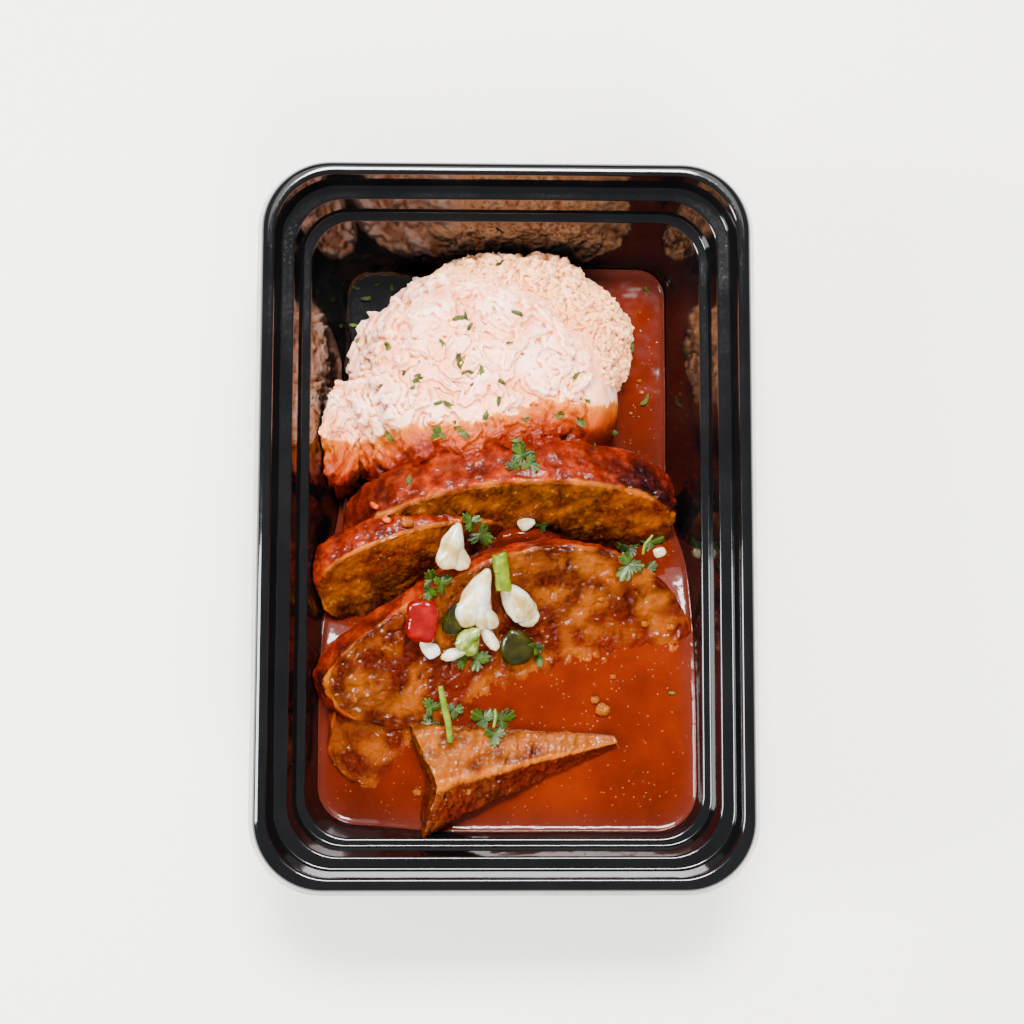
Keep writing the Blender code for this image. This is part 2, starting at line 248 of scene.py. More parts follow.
def skin(grid, first_cap=True, last_cap=True, paints=None, flip=False):
    """Points, faces and painted values of one surface through rings of points, shape
    (rows, columns, 3). A cap's point takes its ring's mean."""
    rows, columns = grid.shape[:2]
    quads, fans = grid_faces(rows, columns, first_cap, last_cap)
    ends = [end for end, wanted in ((0, first_cap), (-1, last_cap)) if wanted]
    points = np.concatenate([grid.reshape(-1, 3)] + [grid[end].mean(axis=0)[None] for end in ends])
    faces = quads.tolist() + [face for fan in fans for face in fan.tolist()]
    if flip:
        faces = [face[::-1] for face in faces]
    painted = {key: np.concatenate([values.ravel()] + [[values[end].mean()] for end in ends])
               for key, values in (paints or {}).items()}
    return points, faces, painted


def make_piece(name, skins, material):
    """One object from several skins, in millimetres, with their paints as attributes."""
    faces, base = [], 0
    for points, its_faces, _ in skins:
        faces += [[corner + base for corner in face] for face in its_faces] if base else its_faces
        base += len(points)
    mesh = bpy.data.meshes.new(name)
    mesh.from_pydata((np.concatenate([part[0] for part in skins]) * MM).tolist(), [], faces)
    mesh.materials.append(material)
    mesh.shade_smooth()
    for key in skins[0][2]:
        layer = mesh.attributes.new(key, "FLOAT", "POINT")
        values = np.concatenate([part[2][key] for part in skins])
        layer.data.foreach_set("value", values.astype(np.float32))
    piece = bpy.data.objects.new(name, mesh)
    bpy.context.scene.collection.objects.link(piece)
    return piece


def stand_for(piece, node):
    """The piece rides on the body and replaces its node."""
    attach(piece, "root")
    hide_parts(node)


def make_surface(name, grid, material, **shape):
    """Object of a single skin."""
    return make_piece(name, [skin(grid, **shape)], material)


def rounded_path(corners, steps=6):
    """Path through (a, b, radius) corners, each inner one turned on an arc of its radius."""
    corners = np.array(corners)
    path = [corners[0, :2]]
    for before, here, after in zip(corners[:-2], corners[1:-1], corners[2:]):
        back = (before - here)[:2] / np.linalg.norm((before - here)[:2])
        ahead = (after - here)[:2] / np.linalg.norm((after - here)[:2])
        half = 0.5 * np.arccos(np.clip(back @ ahead, -1.0, 1.0))
        start = here[:2] + back * here[2] / np.tan(half)
        end = here[:2] + ahead * here[2] / np.tan(half)
        middle = here[:2] + (back + ahead) / np.linalg.norm(back + ahead) * here[2] / np.sin(half)
        first, last = start - middle, end - middle
        sweep = pi - 2.0 * half
        t = np.linspace(0.0, 1.0, steps + 1)[:, None]
        path += list(middle + (np.sin((1.0 - t) * sweep) * first + np.sin(t * sweep) * last)
                     / np.sin(sweep))
    path.append(corners[-1, :2])
    return np.array(path)


def tray_rings(insets, heights, corner_steps=18, side_steps=10):
    """Rounded rectangles of the tray, one for each inset and height, anticlockwise: the
    corner radius shrinks with the inset, and the sides are cut into equal steps."""
    insets = np.asarray(insets)[:, None]
    radius = np.maximum(TRAY_CORNER - CORNER_SHRINK * insets, LEAST_CORNER)
    turn = np.linspace(0.0, pi / 2.0, corner_steps + 1)
    ring_x, ring_y = [], []
    for quarter, (side_x, side_y) in enumerate(((1, 1), (-1, 1), (-1, -1), (1, -1))):
        angle = turn + quarter * pi / 2.0
        ring_x.append(side_x * (TRAY_HALF[0] - insets - radius) + radius * np.cos(angle))
        ring_y.append(side_y * (TRAY_HALF[1] - insets - radius) + radius * np.sin(angle))
    columns_x, columns_y = [], []
    share = np.arange(1, side_steps) / side_steps
    for quarter in range(4):
        for ring, columns in ((ring_x, columns_x), (ring_y, columns_y)):
            here, after = ring[quarter], ring[(quarter + 1) % 4]
            columns.append(here)
            columns.append(here[:, -1:] * (1.0 - share) + after[:, :1] * share)
    x = np.concatenate(columns_x, axis=1)
    y = np.concatenate(columns_y, axis=1)
    return joined(x, y, np.asarray(heights)[:, None])


def black_polypropylene():
    """Black polypropylene, thermoformed against a polished mould: glossy, with faint shrink
    waves and fine handling scuffs that break up its highlights."""
    stuff, tree, shader = new_material("black_polypropylene_thermoformed")
    place = object_place(tree)
    scuffs = noise(tree, place, 0.9, detail=8.0, roughness=0.7)
    patches = noise(tree, place, 18.0, detail=3.0)
    rough = combine(tree, "ADD", span(tree, scuffs, 0.5, 0.75, 0.05, 0.14),
                    span(tree, patches, 0.4, 0.7, 0.0, 0.05))
    waves = bump(tree, noise(tree, place, 9.0, detail=1.0), 0.05)
    colour = ramp(tree, patches, ((0.3, "#030304"), (0.7, "#070708")))
    set_shader(tree, shader, Base_Color=colour, Roughness=rough, IOR=1.49,
               Specular_IOR_Level=0.4, Normal=bump(tree, scuffs, 0.004, waves))
    return stuff


profile = rounded_path(TRAY_PROFILE)
profile = np.concatenate((profile[:-1], [(inset, TRAY_WALL) for inset in FLOOR_INSETS]))
tray = make_surface("tray_sheet", tray_rings(profile[:, 0], profile[:, 1]),
                    black_polypropylene(), first_cap=False)
sheet = tray.modifiers.new("sheet", "SOLIDIFY")
sheet.thickness = TRAY_WALL * MM
sheet.offset = -1.0
stand_for(tray, "tray")


# === Meatloaf slices ==========================================================
# Slices of one free-form loaf of minced meat, baked under a tomato glaze: a coarse crumb on
# the cut faces and a dark, sticky crust round the arch. Each is a D-shaped slab whose
# surface runs from the middle of its back over the crust to the middle of its cut face.

SLICE_COLUMNS = 400
BACK_ROWS, CRUST_ROWS, FACE_ROWS = 14, 64, 104
BASE_POWER = 2.5
FACE_SPREAD = 30.0
# inset from the outline, and share of the thickness behind the cut face
CRUST_INSETS = (6.0, 1.8, 0.2, -0.6, 0.0, 0.8, 2.2)
CRUST_SHARES = (1.0, 0.95, 0.78, 0.5, 0.22, 0.05, 0.0)


def lattice_pick(order, lattice):
    """Entry of a table of 256 for each corner of a lattice, from a shuffled order."""
    wrapped = lattice & 255
    return order[order[order[wrapped[..., 0]] + wrapped[..., 1]] + wrapped[..., 2]]


def gradient_noise(points, size, seed):
    """Smooth field from about -1 to 1: a random gradient at each corner of a cubic lattice
    of one size, blended with a quintic ease."""
    random = np.random.RandomState(seed)
    order = np.tile(random.permutation(256), 2)
    slopes = random.normal(size=(256, 3))
    slopes /= np.linalg.norm(slopes, axis=1, keepdims=True)
    spot = points / size + random.uniform(0.0, 50.0, 3)
    cell = np.floor(spot).astype(int)
    inside = spot - cell
    ease = inside ** 3 * (inside * (inside * 6.0 - 15.0) + 10.0)
    total = np.zeros(points.shape[:-1])
    for corner in np.ndindex(2, 2, 2):
        index = lattice_pick(order, cell + corner)
        weight = np.prod(np.where(corner, ease, 1.0 - ease), axis=-1)
        total += weight * np.sum(slopes[index] * (inside - corner), axis=-1)
    return total * 1.6


def layered_noise(points, size, seed, octaves=4, gain=0.5):
    """Sum of noise fields, each half the size and gain times the height of the last."""
    return sum(gain ** k * gradient_noise(points, size / 2.0 ** k, seed + k)
               for k in range(octaves))


def lumps(points, size, seed):
    """Packed round grains: one at the middle of the nearest random point of each lattice
    cell, and falling to 0 where the second nearest is as close."""
    random = np.random.RandomState(seed)
    order = np.tile(random.permutation(256), 2)
    shifts = random.uniform(0.0, 1.0, (256, 3))
    spot = points / size
    cell = np.floor(spot).astype(int)
    first = np.full(points.shape[:-1], 9.0)
    second = first.copy()
    for step in np.ndindex(3, 3, 3):
        lattice = cell + step - 1
        far = np.sum((lattice + shifts[lattice_pick(order, lattice)] - spot) ** 2, axis=-1)
        second = np.minimum(second, np.maximum(first, far))
        first = np.minimum(first, far)
    return clamp(np.sqrt(second) - np.sqrt(first))


def ripple(angles, size, seed, first=2, last=6):
    """Uneven edge: a few sine waves round the ring, each with a seeded phase."""
    phases = np.random.RandomState(seed).uniform(0.0, 2.0 * pi, last + 1)
    waves = [np.sin(k * angles + phases[k]) / k for k in range(first, last + 1)]
    return size * np.sum(waves, axis=0)


def loaf_outline(angles, half_width, rise, drop, crown, arch, seed):
    """D-shaped section of the loaf: an arch of one power above its widest line and a
    squarer base below it, with an uneven edge. crown moves the arch's top sideways."""
    across, up = np.cos(angles), np.sin(angles)
    power = np.where(up >= 0.0, arch, BASE_POWER)
    reach = (np.abs(across) ** power + np.abs(up) ** power) ** (-1.0 / power)
    reach = reach * (1.0 + ripple(angles, 0.035, seed))
    height = np.where(up >= 0.0, rise, drop)
    side = half_width * across * reach + crown * clamp(up * reach)
    return joined(side, height * up * reach)


def smooth_rows(values, times):
    """Running mean of three along a profile, its ends kept."""
    for _ in range(times):
        values = np.concatenate((values[:1], (values[:-2] + values[1:-1] + values[2:]) / 3.0,
                                 values[-1:]))
    return values


def frame_matrix(centre, lean, roll, turn):
    """Place of a slice: turned about X, Y and Z in degrees, then moved."""
    turned = Euler((radians(lean), radians(roll), radians(turn))).to_matrix().to_4x4()
    return np.array(Matrix.Translation(Vector(centre)) @ turned)


def wall_reach(angles, height):
    """Distance from the middle to the well's wall in each direction at each height: the
    nearer of the side planes, or the corner's arc between them."""
    inset = np.interp(height, WELL_HEIGHTS, WELL_INSETS)
    half_x, half_y = TRAY_HALF[0] - inset, TRAY_HALF[1] - inset
    radius = TRAY_CORNER - CORNER_SHRINK * inset
    across, ahead = np.abs(np.cos(angles)) + 1e-9, np.abs(np.sin(angles)) + 1e-9
    straight = np.minimum(half_x / across, half_y / ahead)
    corner_x, corner_y = half_x - radius, half_y - radius
    dot = across * corner_x + ahead * corner_y
    arc = dot + np.sqrt(np.clip(dot ** 2 - corner_x ** 2 - corner_y ** 2 + radius ** 2, 0.0, None))
    in_corner = (straight * across > corner_x) & (straight * ahead > corner_y)
    return np.where(in_corner, arc, straight)


def inside_well(world):
    """Points kept above the tray's floor and short of its walls."""
    x, y = world[..., 0], world[..., 1]
    z = np.maximum(world[..., 2], FLOOR)
    room = wall_reach(np.arctan2(y, x), z) - WALL_GAP
    share = np.minimum(1.0, room / np.maximum(np.hypot(x, y), 1e-6))
    return joined(x * share, y * share, z)


def ring_normals(outward, side_rate, up_rate):
    """Normals of rings that follow a profile, from the way out of each point of a ring and
    the profile's rates along its two axes."""
    steep = np.hypot(side_rate, up_rate) + 1e-6
    sides = outward[None] * (side_rate / steep)[:, None, None]
    up = np.broadcast_to((up_rate / steep)[:, None, None], sides.shape[:2] + (1,))
    return np.concatenate((sides, up), axis=-1)


def slice_relief(points, face, crust, char, seed):
    """Height of the surface detail in millimetres. A cut face is minced meat: soft swells,
    fine grains, pits and torn cracks. Glazed crust is soft and wavy, and charred crust is
    knobbly, with clefts between its knobs."""
    along = points * (1.0, 0.65, 1.0)
    swell = layered_noise(points, 11.0, seed, octaves=2)
    grain = layered_noise(along, 2.8, seed + 3, octaves=3, gain=0.6)
    grits = np.sqrt(lumps(along + 0.5 * grain[..., None], 2.6, seed + 4))
    pits = clamp(gradient_noise(along, 2.6, seed + 5) - 0.35)
    cracks = clamp(0.2 - np.abs(gradient_noise(along, 6.0, seed + 7))) / 0.2
    torn = cracks * clamp(gradient_noise(along, 7.0, seed + 8) - 0.1)
    on_face = 0.4 * swell + 0.5 * grain + 0.6 * grits - 1.6 * pits - 1.5 * torn
    knobs = lumps(points + 1.5 * layered_noise(points, 5.0, seed + 6)[..., None], 5.5, seed + 9)
    waves = 0.9 * layered_noise(points, 8.0, seed + 10, octaves=3, gain=0.55)
    on_char = waves + 1.7 * np.sqrt(knobs) + 0.5 * layered_noise(points, 2.0, seed + 11, 3) - 1.1
    on_glaze = waves + 0.25 * grain - 0.4
    return face * (on_face - 0.3) + crust * (on_glaze + (on_char - on_glaze) * char)


def hollows(lift, passes=5):
    """How far the relief lies below the running mean of its neighbours."""
    soft = lift
    for _ in range(passes):
        rows = np.concatenate((soft[:1], soft, soft[-1:]))
        soft = (soft + rows[:-2] + rows[2:] + np.roll(soft, 1, axis=1)
                + np.roll(soft, -1, axis=1)) / 5.0
    return soft - lift


def charred(world, spots, seed):
    """How charred the crust is: round spots (x, y, z, radius, depth) with a ragged edge."""
    ragged = 0.35 * layered_noise(world, 7.0, seed, octaves=3)
    total = np.zeros(world.shape[:-1])
    for x, y, z, radius, depth in spots:
        far = np.linalg.norm(world - (x, y, z), axis=-1) / radius
        total = np.maximum(total, depth * clamp(1.6 - far + ragged))
    return total


def soaking(world):
    """Height above the gravy, from 0 at its level to 1 at 12 mm."""
    level = gravy_level(world[..., 0], world[..., 1])
    return clamp((world[..., 2] - level) / 12.0)


def make_slice(name, size, thickness, arch, slant, sag, seed, place, spots, rough, dry,
               material):
    """Slab cut from the loaf: rings round the section, smallest at the middle of the back,
    out along the crust and in again over the cut face, raised by the relief."""
    half_width, rise, drop, crown = size
    angles = full_turn(SLICE_COLUMNS)
    outline = loaf_outline(angles, half_width, rise, drop, crown, arch, seed)
    length = np.linalg.norm(outline, axis=1)
    tangent = np.roll(outline, -1, axis=0) - np.roll(outline, 1, axis=0)
    outward = joined(tangent[:, 1], -tangent[:, 0])
    outward /= np.linalg.norm(outward, axis=1, keepdims=True)
    centre = np.array((0.0, (rise - drop) / 2.0))

    along = np.linspace(0.0, 1.0, len(CRUST_INSETS))
    steps = np.linspace(0.0, 1.0, CRUST_ROWS)
    rim_inset = smooth_rows(np.interp(steps, along, CRUST_INSETS), 6)
    rim_share = smooth_rows(np.interp(steps, along, CRUST_SHARES), 6)
    back_scale = np.linspace(0.03, 1.0, BACK_ROWS, endpoint=False)
    face_scale = np.linspace(1.0, 0.015, FACE_ROWS + 1)[1:]
    scale = np.concatenate((back_scale, np.ones(CRUST_ROWS), face_scale))[:, None]
    inset = np.concatenate((np.full(BACK_ROWS, CRUST_INSETS[0]), rim_inset,
                            np.full(FACE_ROWS, CRUST_INSETS[-1])))[:, None]
    share = np.concatenate((np.ones(BACK_ROWS), rim_share, np.zeros(FACE_ROWS)))[:, None]

    flat = outline[None] * (1.0 - inset / length[None])[..., None]
    flat = centre + scale[..., None] * (flat - centre)
    reach = np.linalg.norm(flat / (half_width, max(rise, drop)), axis=-1)
    hollow = sag * clamp(1.0 - reach ** 2) * (1.0 - share)
    shift = np.array(slant) * (0.5 - share)[..., None]
    points = np.concatenate((flat + shift, (-share * thickness - hollow)[..., None]), axis=-1)

    normal = ring_normals(outward, np.gradient(-share[:, 0] * thickness),
                          np.gradient(inset[:, 0] + (1.0 - scale[:, 0]) * FACE_SPREAD))
    face = clamp((scale < 1.0) * (share == 0.0) + clamp(1.0 - share * 14.0))
    face = np.broadcast_to(face, flat.shape[:2])
    back = (share > 0.97) * 1.0
    crust = clamp(1.0 - face - 0.7 * back)
    char = charred(placed(points, place), spots, seed + 30)
    lift = slice_relief(points, rough * face + 0.5 * back, crust, char, seed)
    points = points + normal * lift[..., None]
    world = inside_well(placed(points, place))
    # painted highlight: a pale line along the cut edge, where face meets crust, stronger higher up
    rim = np.exp(-((share - 0.04) / 0.05) ** 2) * clamp(world[..., 2] / 20.0)
    edge = rim * clamp(0.5 + gradient_noise(points, 7.0, seed + 40))
    # lift and hollow also drive painted shade in low spots and painted highlight on raised bits
    paints = {"crust": crust, "lift": lift, "hollow": hollows(lift), "char": char,
              "low": dry * soaking(world), "edge": edge}
    return make_surface(name, world, material, paints=paints)


def gravy_level(x, y):
    """Height of the thick gravy: deep at the near end and low beside the mash, lower along
    the left wall. A puddle is dammed up between the back and the middle slice, and the gap
    between these two is drained at either end."""
    stations = (-120.0, -60.0, -39.0, -22.0, -10.0, 5.0, 18.0, 120.0)
    levels = (31.0, 31.0, 29.5, 26.0, 22.5, 8.0, 4.0, 4.0)
    level = sum(np.interp(y + step, stations, levels) for step in (-5.0, -2.5, 0.0, 2.5, 5.0)) / 5.0
    near = clamp((20.0 - y) / 40.0)
    left = clamp((-x - 12.0) / 40.0)
    level = level - 6.5 * near * left ** 2 * (3.0 - 2.0 * left)
    puddle = 14.0 * np.exp(-((x - 5.0) / 14.0) ** 2 - ((y + 1.0) / 6.0) ** 2)
    left_drain = 10.0 * np.exp(-((x + 40.0) / 14.0) ** 2 - ((y + 21.0) / 8.0) ** 2)
    right_drain = 11.0 * np.exp(-((x - 32.0) / 11.0) ** 2 - ((y + 8.0) / 7.0) ** 2)
    return level + puddle - left_drain - right_drain


def glazed_meatloaf():
    """Baked minced meat under tomato glaze. The crumb is ochre, with pale grains and orange
    sauce soaked in, painted shade in its cracks and hollows and a painted highlight on its
    raised bits; the crust is red brown, black brown where charred, with painted shade in its
    low spots and a painted highlight along its cut edge, all under a glossy wet film."""
    stuff, tree, shader = new_material("baked_meatloaf_tomato_glaze")
    place = object_place(tree)
    crust, lift, hollow, char, low, edge = (
        paint_value(tree, name) for name in ("crust", "lift", "hollow", "char", "low", "edge"))
    place = add_node(tree, "Mapping", {"Vector": place, "Scale": (1.0, 1.0, 0.65)}).outputs[0]
    broad = noise(tree, place, 20.0, detail=3.0)
    medium = noise(tree, place, 4.5, detail=6.0, roughness=0.65)
    fine = noise(tree, place, 1.2, detail=4.0, roughness=0.65)
    crumb = ramp(tree, medium, ((0.34, "#2E0A00"), (0.47, "#401800"), (0.58, "#522600"),
                                (0.72, "#764404")))
    soaked = ramp(tree, fine, ((0.35, "#3E0800"), (0.65, "#561600")))
    crumb = tint(tree, crumb, soaked, broad, 0.40, 0.62, 0.0, 0.8)
    crumb = tint(tree, crumb, "#240800", fine, 0.34, 0.46, 0.6, 0.0)
    # painted shade: the crumb darkened where its relief lies below its neighbours, in cracks and
    # pits
    crumb = tint(tree, crumb, "#180300", hollow, 0.03, 0.4, 0.0, 0.9)
    # painted highlight: the crumb lightened towards orange where its relief stands above its
    # neighbours
    crumb = tint(tree, crumb, "#7A3C04", hollow, -0.4, -0.1, 0.35, 0.0)
    grains = noise(tree, place, 2.3, detail=2.0)
    crumb = tint(tree, crumb, "#9A6430", grains, 0.66, 0.74, 0.0, 0.6)
    crumb = tint(tree, crumb, "#C4A088", low, 0.45, 0.9, 1.0, 0.0, "MULTIPLY")
    crumb = tint(tree, crumb, "#420A00", low, 0.0, 0.3, 0.9, 0.0)
    glaze = ramp(tree, medium, ((0.32, "#3E0A02"), (0.5, "#641402"), (0.66, "#8A2A00")))
    burnt = ramp(tree, medium, ((0.32, "#0A0202"), (0.5, "#1E0606"), (0.68, "#3C0E0C")))
    baked = blend_colour(tree, char, glaze, burnt)
    # painted shade: the crust darkened where its relief lies low, in the clefts between its knobs
    baked = tint(tree, baked, "#180504", lift, -1.3, 0.3, 0.75, 0.0)
    over = combine(tree, "ADD", crust, span(tree, medium, 0.3, 0.7, -0.25, 0.25))
    colour = tint(tree, crumb, baked, over, 0.3, 0.6)
    # painted highlight along the cut edge, from the painted edge value
    colour = tint(tree, colour, "#9A4E04", edge, 0.15, 0.9, 0.0, 0.62)
    rough = span(tree, medium, 0.35, 0.7, 0.35, 0.55)
    grainy = bump(tree, fine, 0.3, bump(tree, medium, 0.4))
    film = bump(tree, noise(tree, place, 2.6, detail=3.0), 0.7)
    set_shader(tree, shader, Base_Color=colour, Roughness=rough, Normal=grainy,
               Coat_Normal=film, Coat_Weight=0.35, Coat_Roughness=0.04, Coat_IOR=1.36,
               Specular_IOR_Level=0.03, Subsurface_Weight=0.1,
               Subsurface_Radius=(1.0, 0.35, 0.15), Subsurface_Scale=0.002)
    return stuff


meatloaf = glazed_meatloaf()
SLICES = (
    # name, (half width, rise, drop, crown), thickness, arch, slant, sag, seed,
    # (centre, lean, roll, turn), charred spots (x, y, z, radius, depth), roughness, dryness
    ("slice_back", (52.5, 29.0, 25.0, 4.0), 19.0, 1.9, (0.0, 0.0), 1.0, 3,
     ((2.0, -3.0, 23.5), 57.5, 0.0, 4.0),
     ((44.0, 12.0, 36.0, 10.0, 1.0), (51.0, 5.0, 28.0, 9.0, 1.0), (-43.0, 6.0, 33.0, 9.0, 0.55)),
     0.9, 1.0),
    ("slice_middle", (58.0, 35.0, 21.0, 15.0), 17.0, 1.75, (5.0, 1.0), 2.5, 8,
     ((-1.0, -43.0, 34.4), 13.0, 5.0, 5.7),
     ((-28.0, -14.0, 43.0, 4.5, 0.9), (-59.0, -49.0, 38.0, 5.0, 0.9),
      (-49.0, -40.0, 38.0, 3.0, 0.8), (-40.0, -28.0, 39.0, 3.0, 0.7)), 1.15, 0.5),
    ("slice_left", (34.0, 17.0, 28.0, 0.0), 13.0, 1.9, (0.0, 0.0), 1.0, 5,
     ((-26.0, -12.0, 27.0), 50.0, 12.0, 14.0), ((-58.0, -12.0, 32.0, 2.5, 0.5),), 0.8, 0.8),
    ("slice_lower", (29.0, 24.0, 20.0, 0.0), 22.0, 2.2, (0.0, 0.0), 0.0, 11,
     ((-26.0, -67.0, 28.5), 13.0, 4.0, 0.0), (), 0.9, 0.7),
)
for name, size, thickness, arch, slant, sag, seed, spot, spots, rough, dry in SLICES:
    slab = make_slice(name + "_baked", size, thickness, arch, slant, sag, seed,
                      frame_matrix(*spot), spots, rough, dry, meatloaf)
    stand_for(slab, name)


WEDGE_ROWS, WEDGE_COLUMNS, WEDGE_CAP = 190, 380, 40


def make_wedge():
    """Broken end of a slice: five-cornered rings from the rough left end to the right tip.
    The left end is closed by rings that shrink to its middle."""
    left = np.array(((-29.0, -61.0, 39.0), (-20.0, -80.0, 41.0), (-25.0, -97.5, 37.0),
                     (-27.0, -88.0, 2.0), (-29.0, -64.0, 2.0)))
    right = np.array(((34.0, -65.0, 33.5), (35.0, -67.0, 34.5), (33.0, -70.0, 31.0),
                      (30.0, -69.0, 16.0), (31.0, -65.0, 16.0)))
    steps = np.linspace(0.0, 1.0, WEDGE_ROWS)
    share = joined(steps, steps ** 0.85, steps ** 0.85)[:, None]
    corners = left + (right - left) * share
    pull = 0.12
    nearer, farther = (np.roll(corners, way, axis=1) * pull + corners * (1.0 - pull)
                       for way in (1, -1))
    rounded = 0.25 * (nearer + farther) + 0.5 * corners
    loop = np.stack((nearer, rounded, farther), axis=2).reshape(len(steps), -1, 3)
    loop = np.concatenate((loop, loop[:, :1]), axis=1)
    spacing = np.concatenate(([0.0], np.cumsum(np.linalg.norm(np.diff(loop[0], axis=0), axis=1))))
    around = np.linspace(0.0, spacing[-1], WEDGE_COLUMNS, endpoint=False)
    slot = np.clip(np.searchsorted(spacing, around, side="right") - 1, 0, len(spacing) - 2)
    part = ((around - spacing[slot]) / (spacing[slot + 1] - spacing[slot]))[None, :, None]
    rings = loop[:, slot] * (1.0 - part) + loop[:, slot + 1] * part
    middle = rings[0].mean(axis=0)
    shrink = np.linspace(0.03, 1.0, WEDGE_CAP, endpoint=False)[:, None, None]
    cap = middle + (rings[0] - middle) * shrink
    points = np.concatenate((cap, rings))
    centre = points.mean(axis=1, keepdims=True)
    normal = points - centre
    normal[:WEDGE_CAP] = (-1.0, 0.0, 0.0)
    normal /= np.linalg.norm(normal, axis=-1, keepdims=True) + 1e-6
    everywhere = np.ones(points.shape[:2])
    nothing = everywhere * 0.0
    lift = slice_relief(points, everywhere, nothing, nothing, 17) + 0.3
    taper = np.clip((1.0 - steps) * 5.0, 0.15, 1.0)
    taper = np.concatenate((np.ones(WEDGE_CAP), taper))[:, None]
    points = inside_well(points + normal * (lift * taper)[..., None])
    # painted highlight: the broken end is paler along its front ridge, and at half strength over
    # its top face
    ridge = np.exp(-((around - spacing[4]) / 2.2) ** 2)
    ridge_and_top_highlight = np.tile(np.maximum(ridge, (around < spacing[5]) * 0.5), (len(points), 1))
    ridge_and_top_highlight[:WEDGE_CAP] = 0.0
    pale = 1.25 * ridge_and_top_highlight * clamp(0.8 + gradient_noise(points, 6.0, 57))
    paints = {"crust": nothing, "lift": lift, "hollow": hollows(lift), "char": nothing,
              "low": soaking(points), "edge": pale}
    return make_surface("slice_front_baked", points, meatloaf, paints=paints)


stand_for(make_wedge(), "slice_front")


# === Tomato gravy =============================================================
# Thick tomato gravy, poured over the slices so that it stands deep at the near end. Rings
# run from the middle of its top out to the walls, down them and in under it, and its top
# climbs a little where it wets the walls and the food.

GRAVY_COLUMNS = 560
GRAVY_ROWS = 150
# The gravy goes a little into the walls. Left of and behind its bare corner the floor is dry.
WALL_OVERLAP = 0.3
BARE_CORNER = (-8.0, 38.0)
SMALL_PART = 0.02
# Food that stands this proud of the gravy draws it up, as far away as a number of cells.
PROUD = 0.3
SHADOW_REACH = 8


def food_shadow(pieces, cell=1.0):
    """Distance in millimetres from each cell of the plan to food that stands above the
    gravy: cells are marked from the pieces' points, then grown one cell at a time, and
    softened at the end."""
    size = (TRAY_HALF * 2.0 / cell).astype(int) + 2
    tall = np.zeros(size)
    for piece in pieces:
        coords = np.empty(len(piece.data.vertices) * 3)
        piece.data.vertices.foreach_get("co", coords)
        coords = coords.reshape(-1, 3) / MM
        index = ((coords[:, :2] + TRAY_HALF) / cell).astype(int)
        index = np.clip(index, 0, size - 1)
        above = coords[:, 2] - gravy_level(coords[:, 0], coords[:, 1])
        np.maximum.at(tall, (index[:, 0], index[:, 1]), above)
    distance = np.where(tall > PROUD, 0.0, SHADOW_REACH + 1.0)
    for _ in range(SHADOW_REACH):
        grown = distance.copy()
        for axis in (0, 1):
            for way in (-1, 1):
                grown = np.minimum(grown, np.roll(distance, way, axis=axis) + 1.0)
        distance = grown
    for _ in range(3):
        distance = sum(np.roll(distance, (i, j), axis=(0, 1))
                       for i in (-1, 0, 1) for j in (-1, 0, 1)) / 9.0
    return distance


def make_gravy(material, pieces):
    """Top rings, wall rings and a flat underside, as one closed skin."""
    angles = full_turn(GRAVY_COLUMNS)
    across, ahead = np.cos(angles), np.sin(angles)
    reach = wall_reach(angles, 20.0)
    for _ in range(4):
        level = np.maximum(gravy_level(across * reach, ahead * reach), FLOOR + 0.5)
        reach = wall_reach(angles, level) + WALL_OVERLAP
    behind = (across < -SMALL_PART) & (ahead > SMALL_PART)
    bare = np.maximum(BARE_CORNER[0] / np.minimum(across, -SMALL_PART),
                      BARE_CORNER[1] / np.maximum(ahead, SMALL_PART))
    bare = np.where(behind, bare, np.inf)
    reach = np.minimum(reach, bare)

    scale = np.linspace(0.0, 1.0, GRAVY_ROWS + 1)[1:, None] ** 0.8
    x, y = scale * reach * across, scale * reach * ahead
    level = gravy_level(x, y)
    to_wall = (1.0 - scale) * reach
    shadow = food_shadow(pieces)
    place = joined(x, y) + TRAY_HALF
    index = np.clip(place.astype(int), 0, np.array(shadow.shape) - 2)
    part = clamp(place - index)
    near = sum(shadow[index[..., 0] + i, index[..., 1] + j]
               * np.abs(1 - i - part[..., 0]) * np.abs(1 - j - part[..., 1])
               for i in (0, 1) for j in (0, 1))
    points = joined(x, y, level)
    meniscus = 1.3 * np.exp(-to_wall / 1.2) + 0.3 * np.exp(-near / 2.2)
    slack = 0.35 * layered_noise(points, 22.0, 40, octaves=2)
    froth = 0.12 * layered_noise(points, 2.0, 44, octaves=2) * np.exp(-to_wall / 5.0)
    points[..., 2] = np.maximum(level + meniscus + slack + froth, FLOOR + 0.4)

    depth = np.linspace(1.0, 0.0, 14)[1:, None]
    down = FLOOR + (points[-1, :, 2] - FLOOR) * depth
    side = np.minimum(wall_reach(angles, down) + WALL_OVERLAP, bare)
    walls = joined(side * across, side * ahead, down)
    under = joined(side[-1] * across * 0.5, side[-1] * ahead * 0.5, FLOOR)[None]
    # rim: nearness to the walls, for the band of fat film and painted shade along them
    rim = np.concatenate((np.exp(-to_wall / 4.0), np.ones((len(walls) + 1, GRAVY_COLUMNS))))
    return make_surface("gravy_pool", np.concatenate((points, walls, under)), material,
                        paints={"rim": rim}, flip=True)


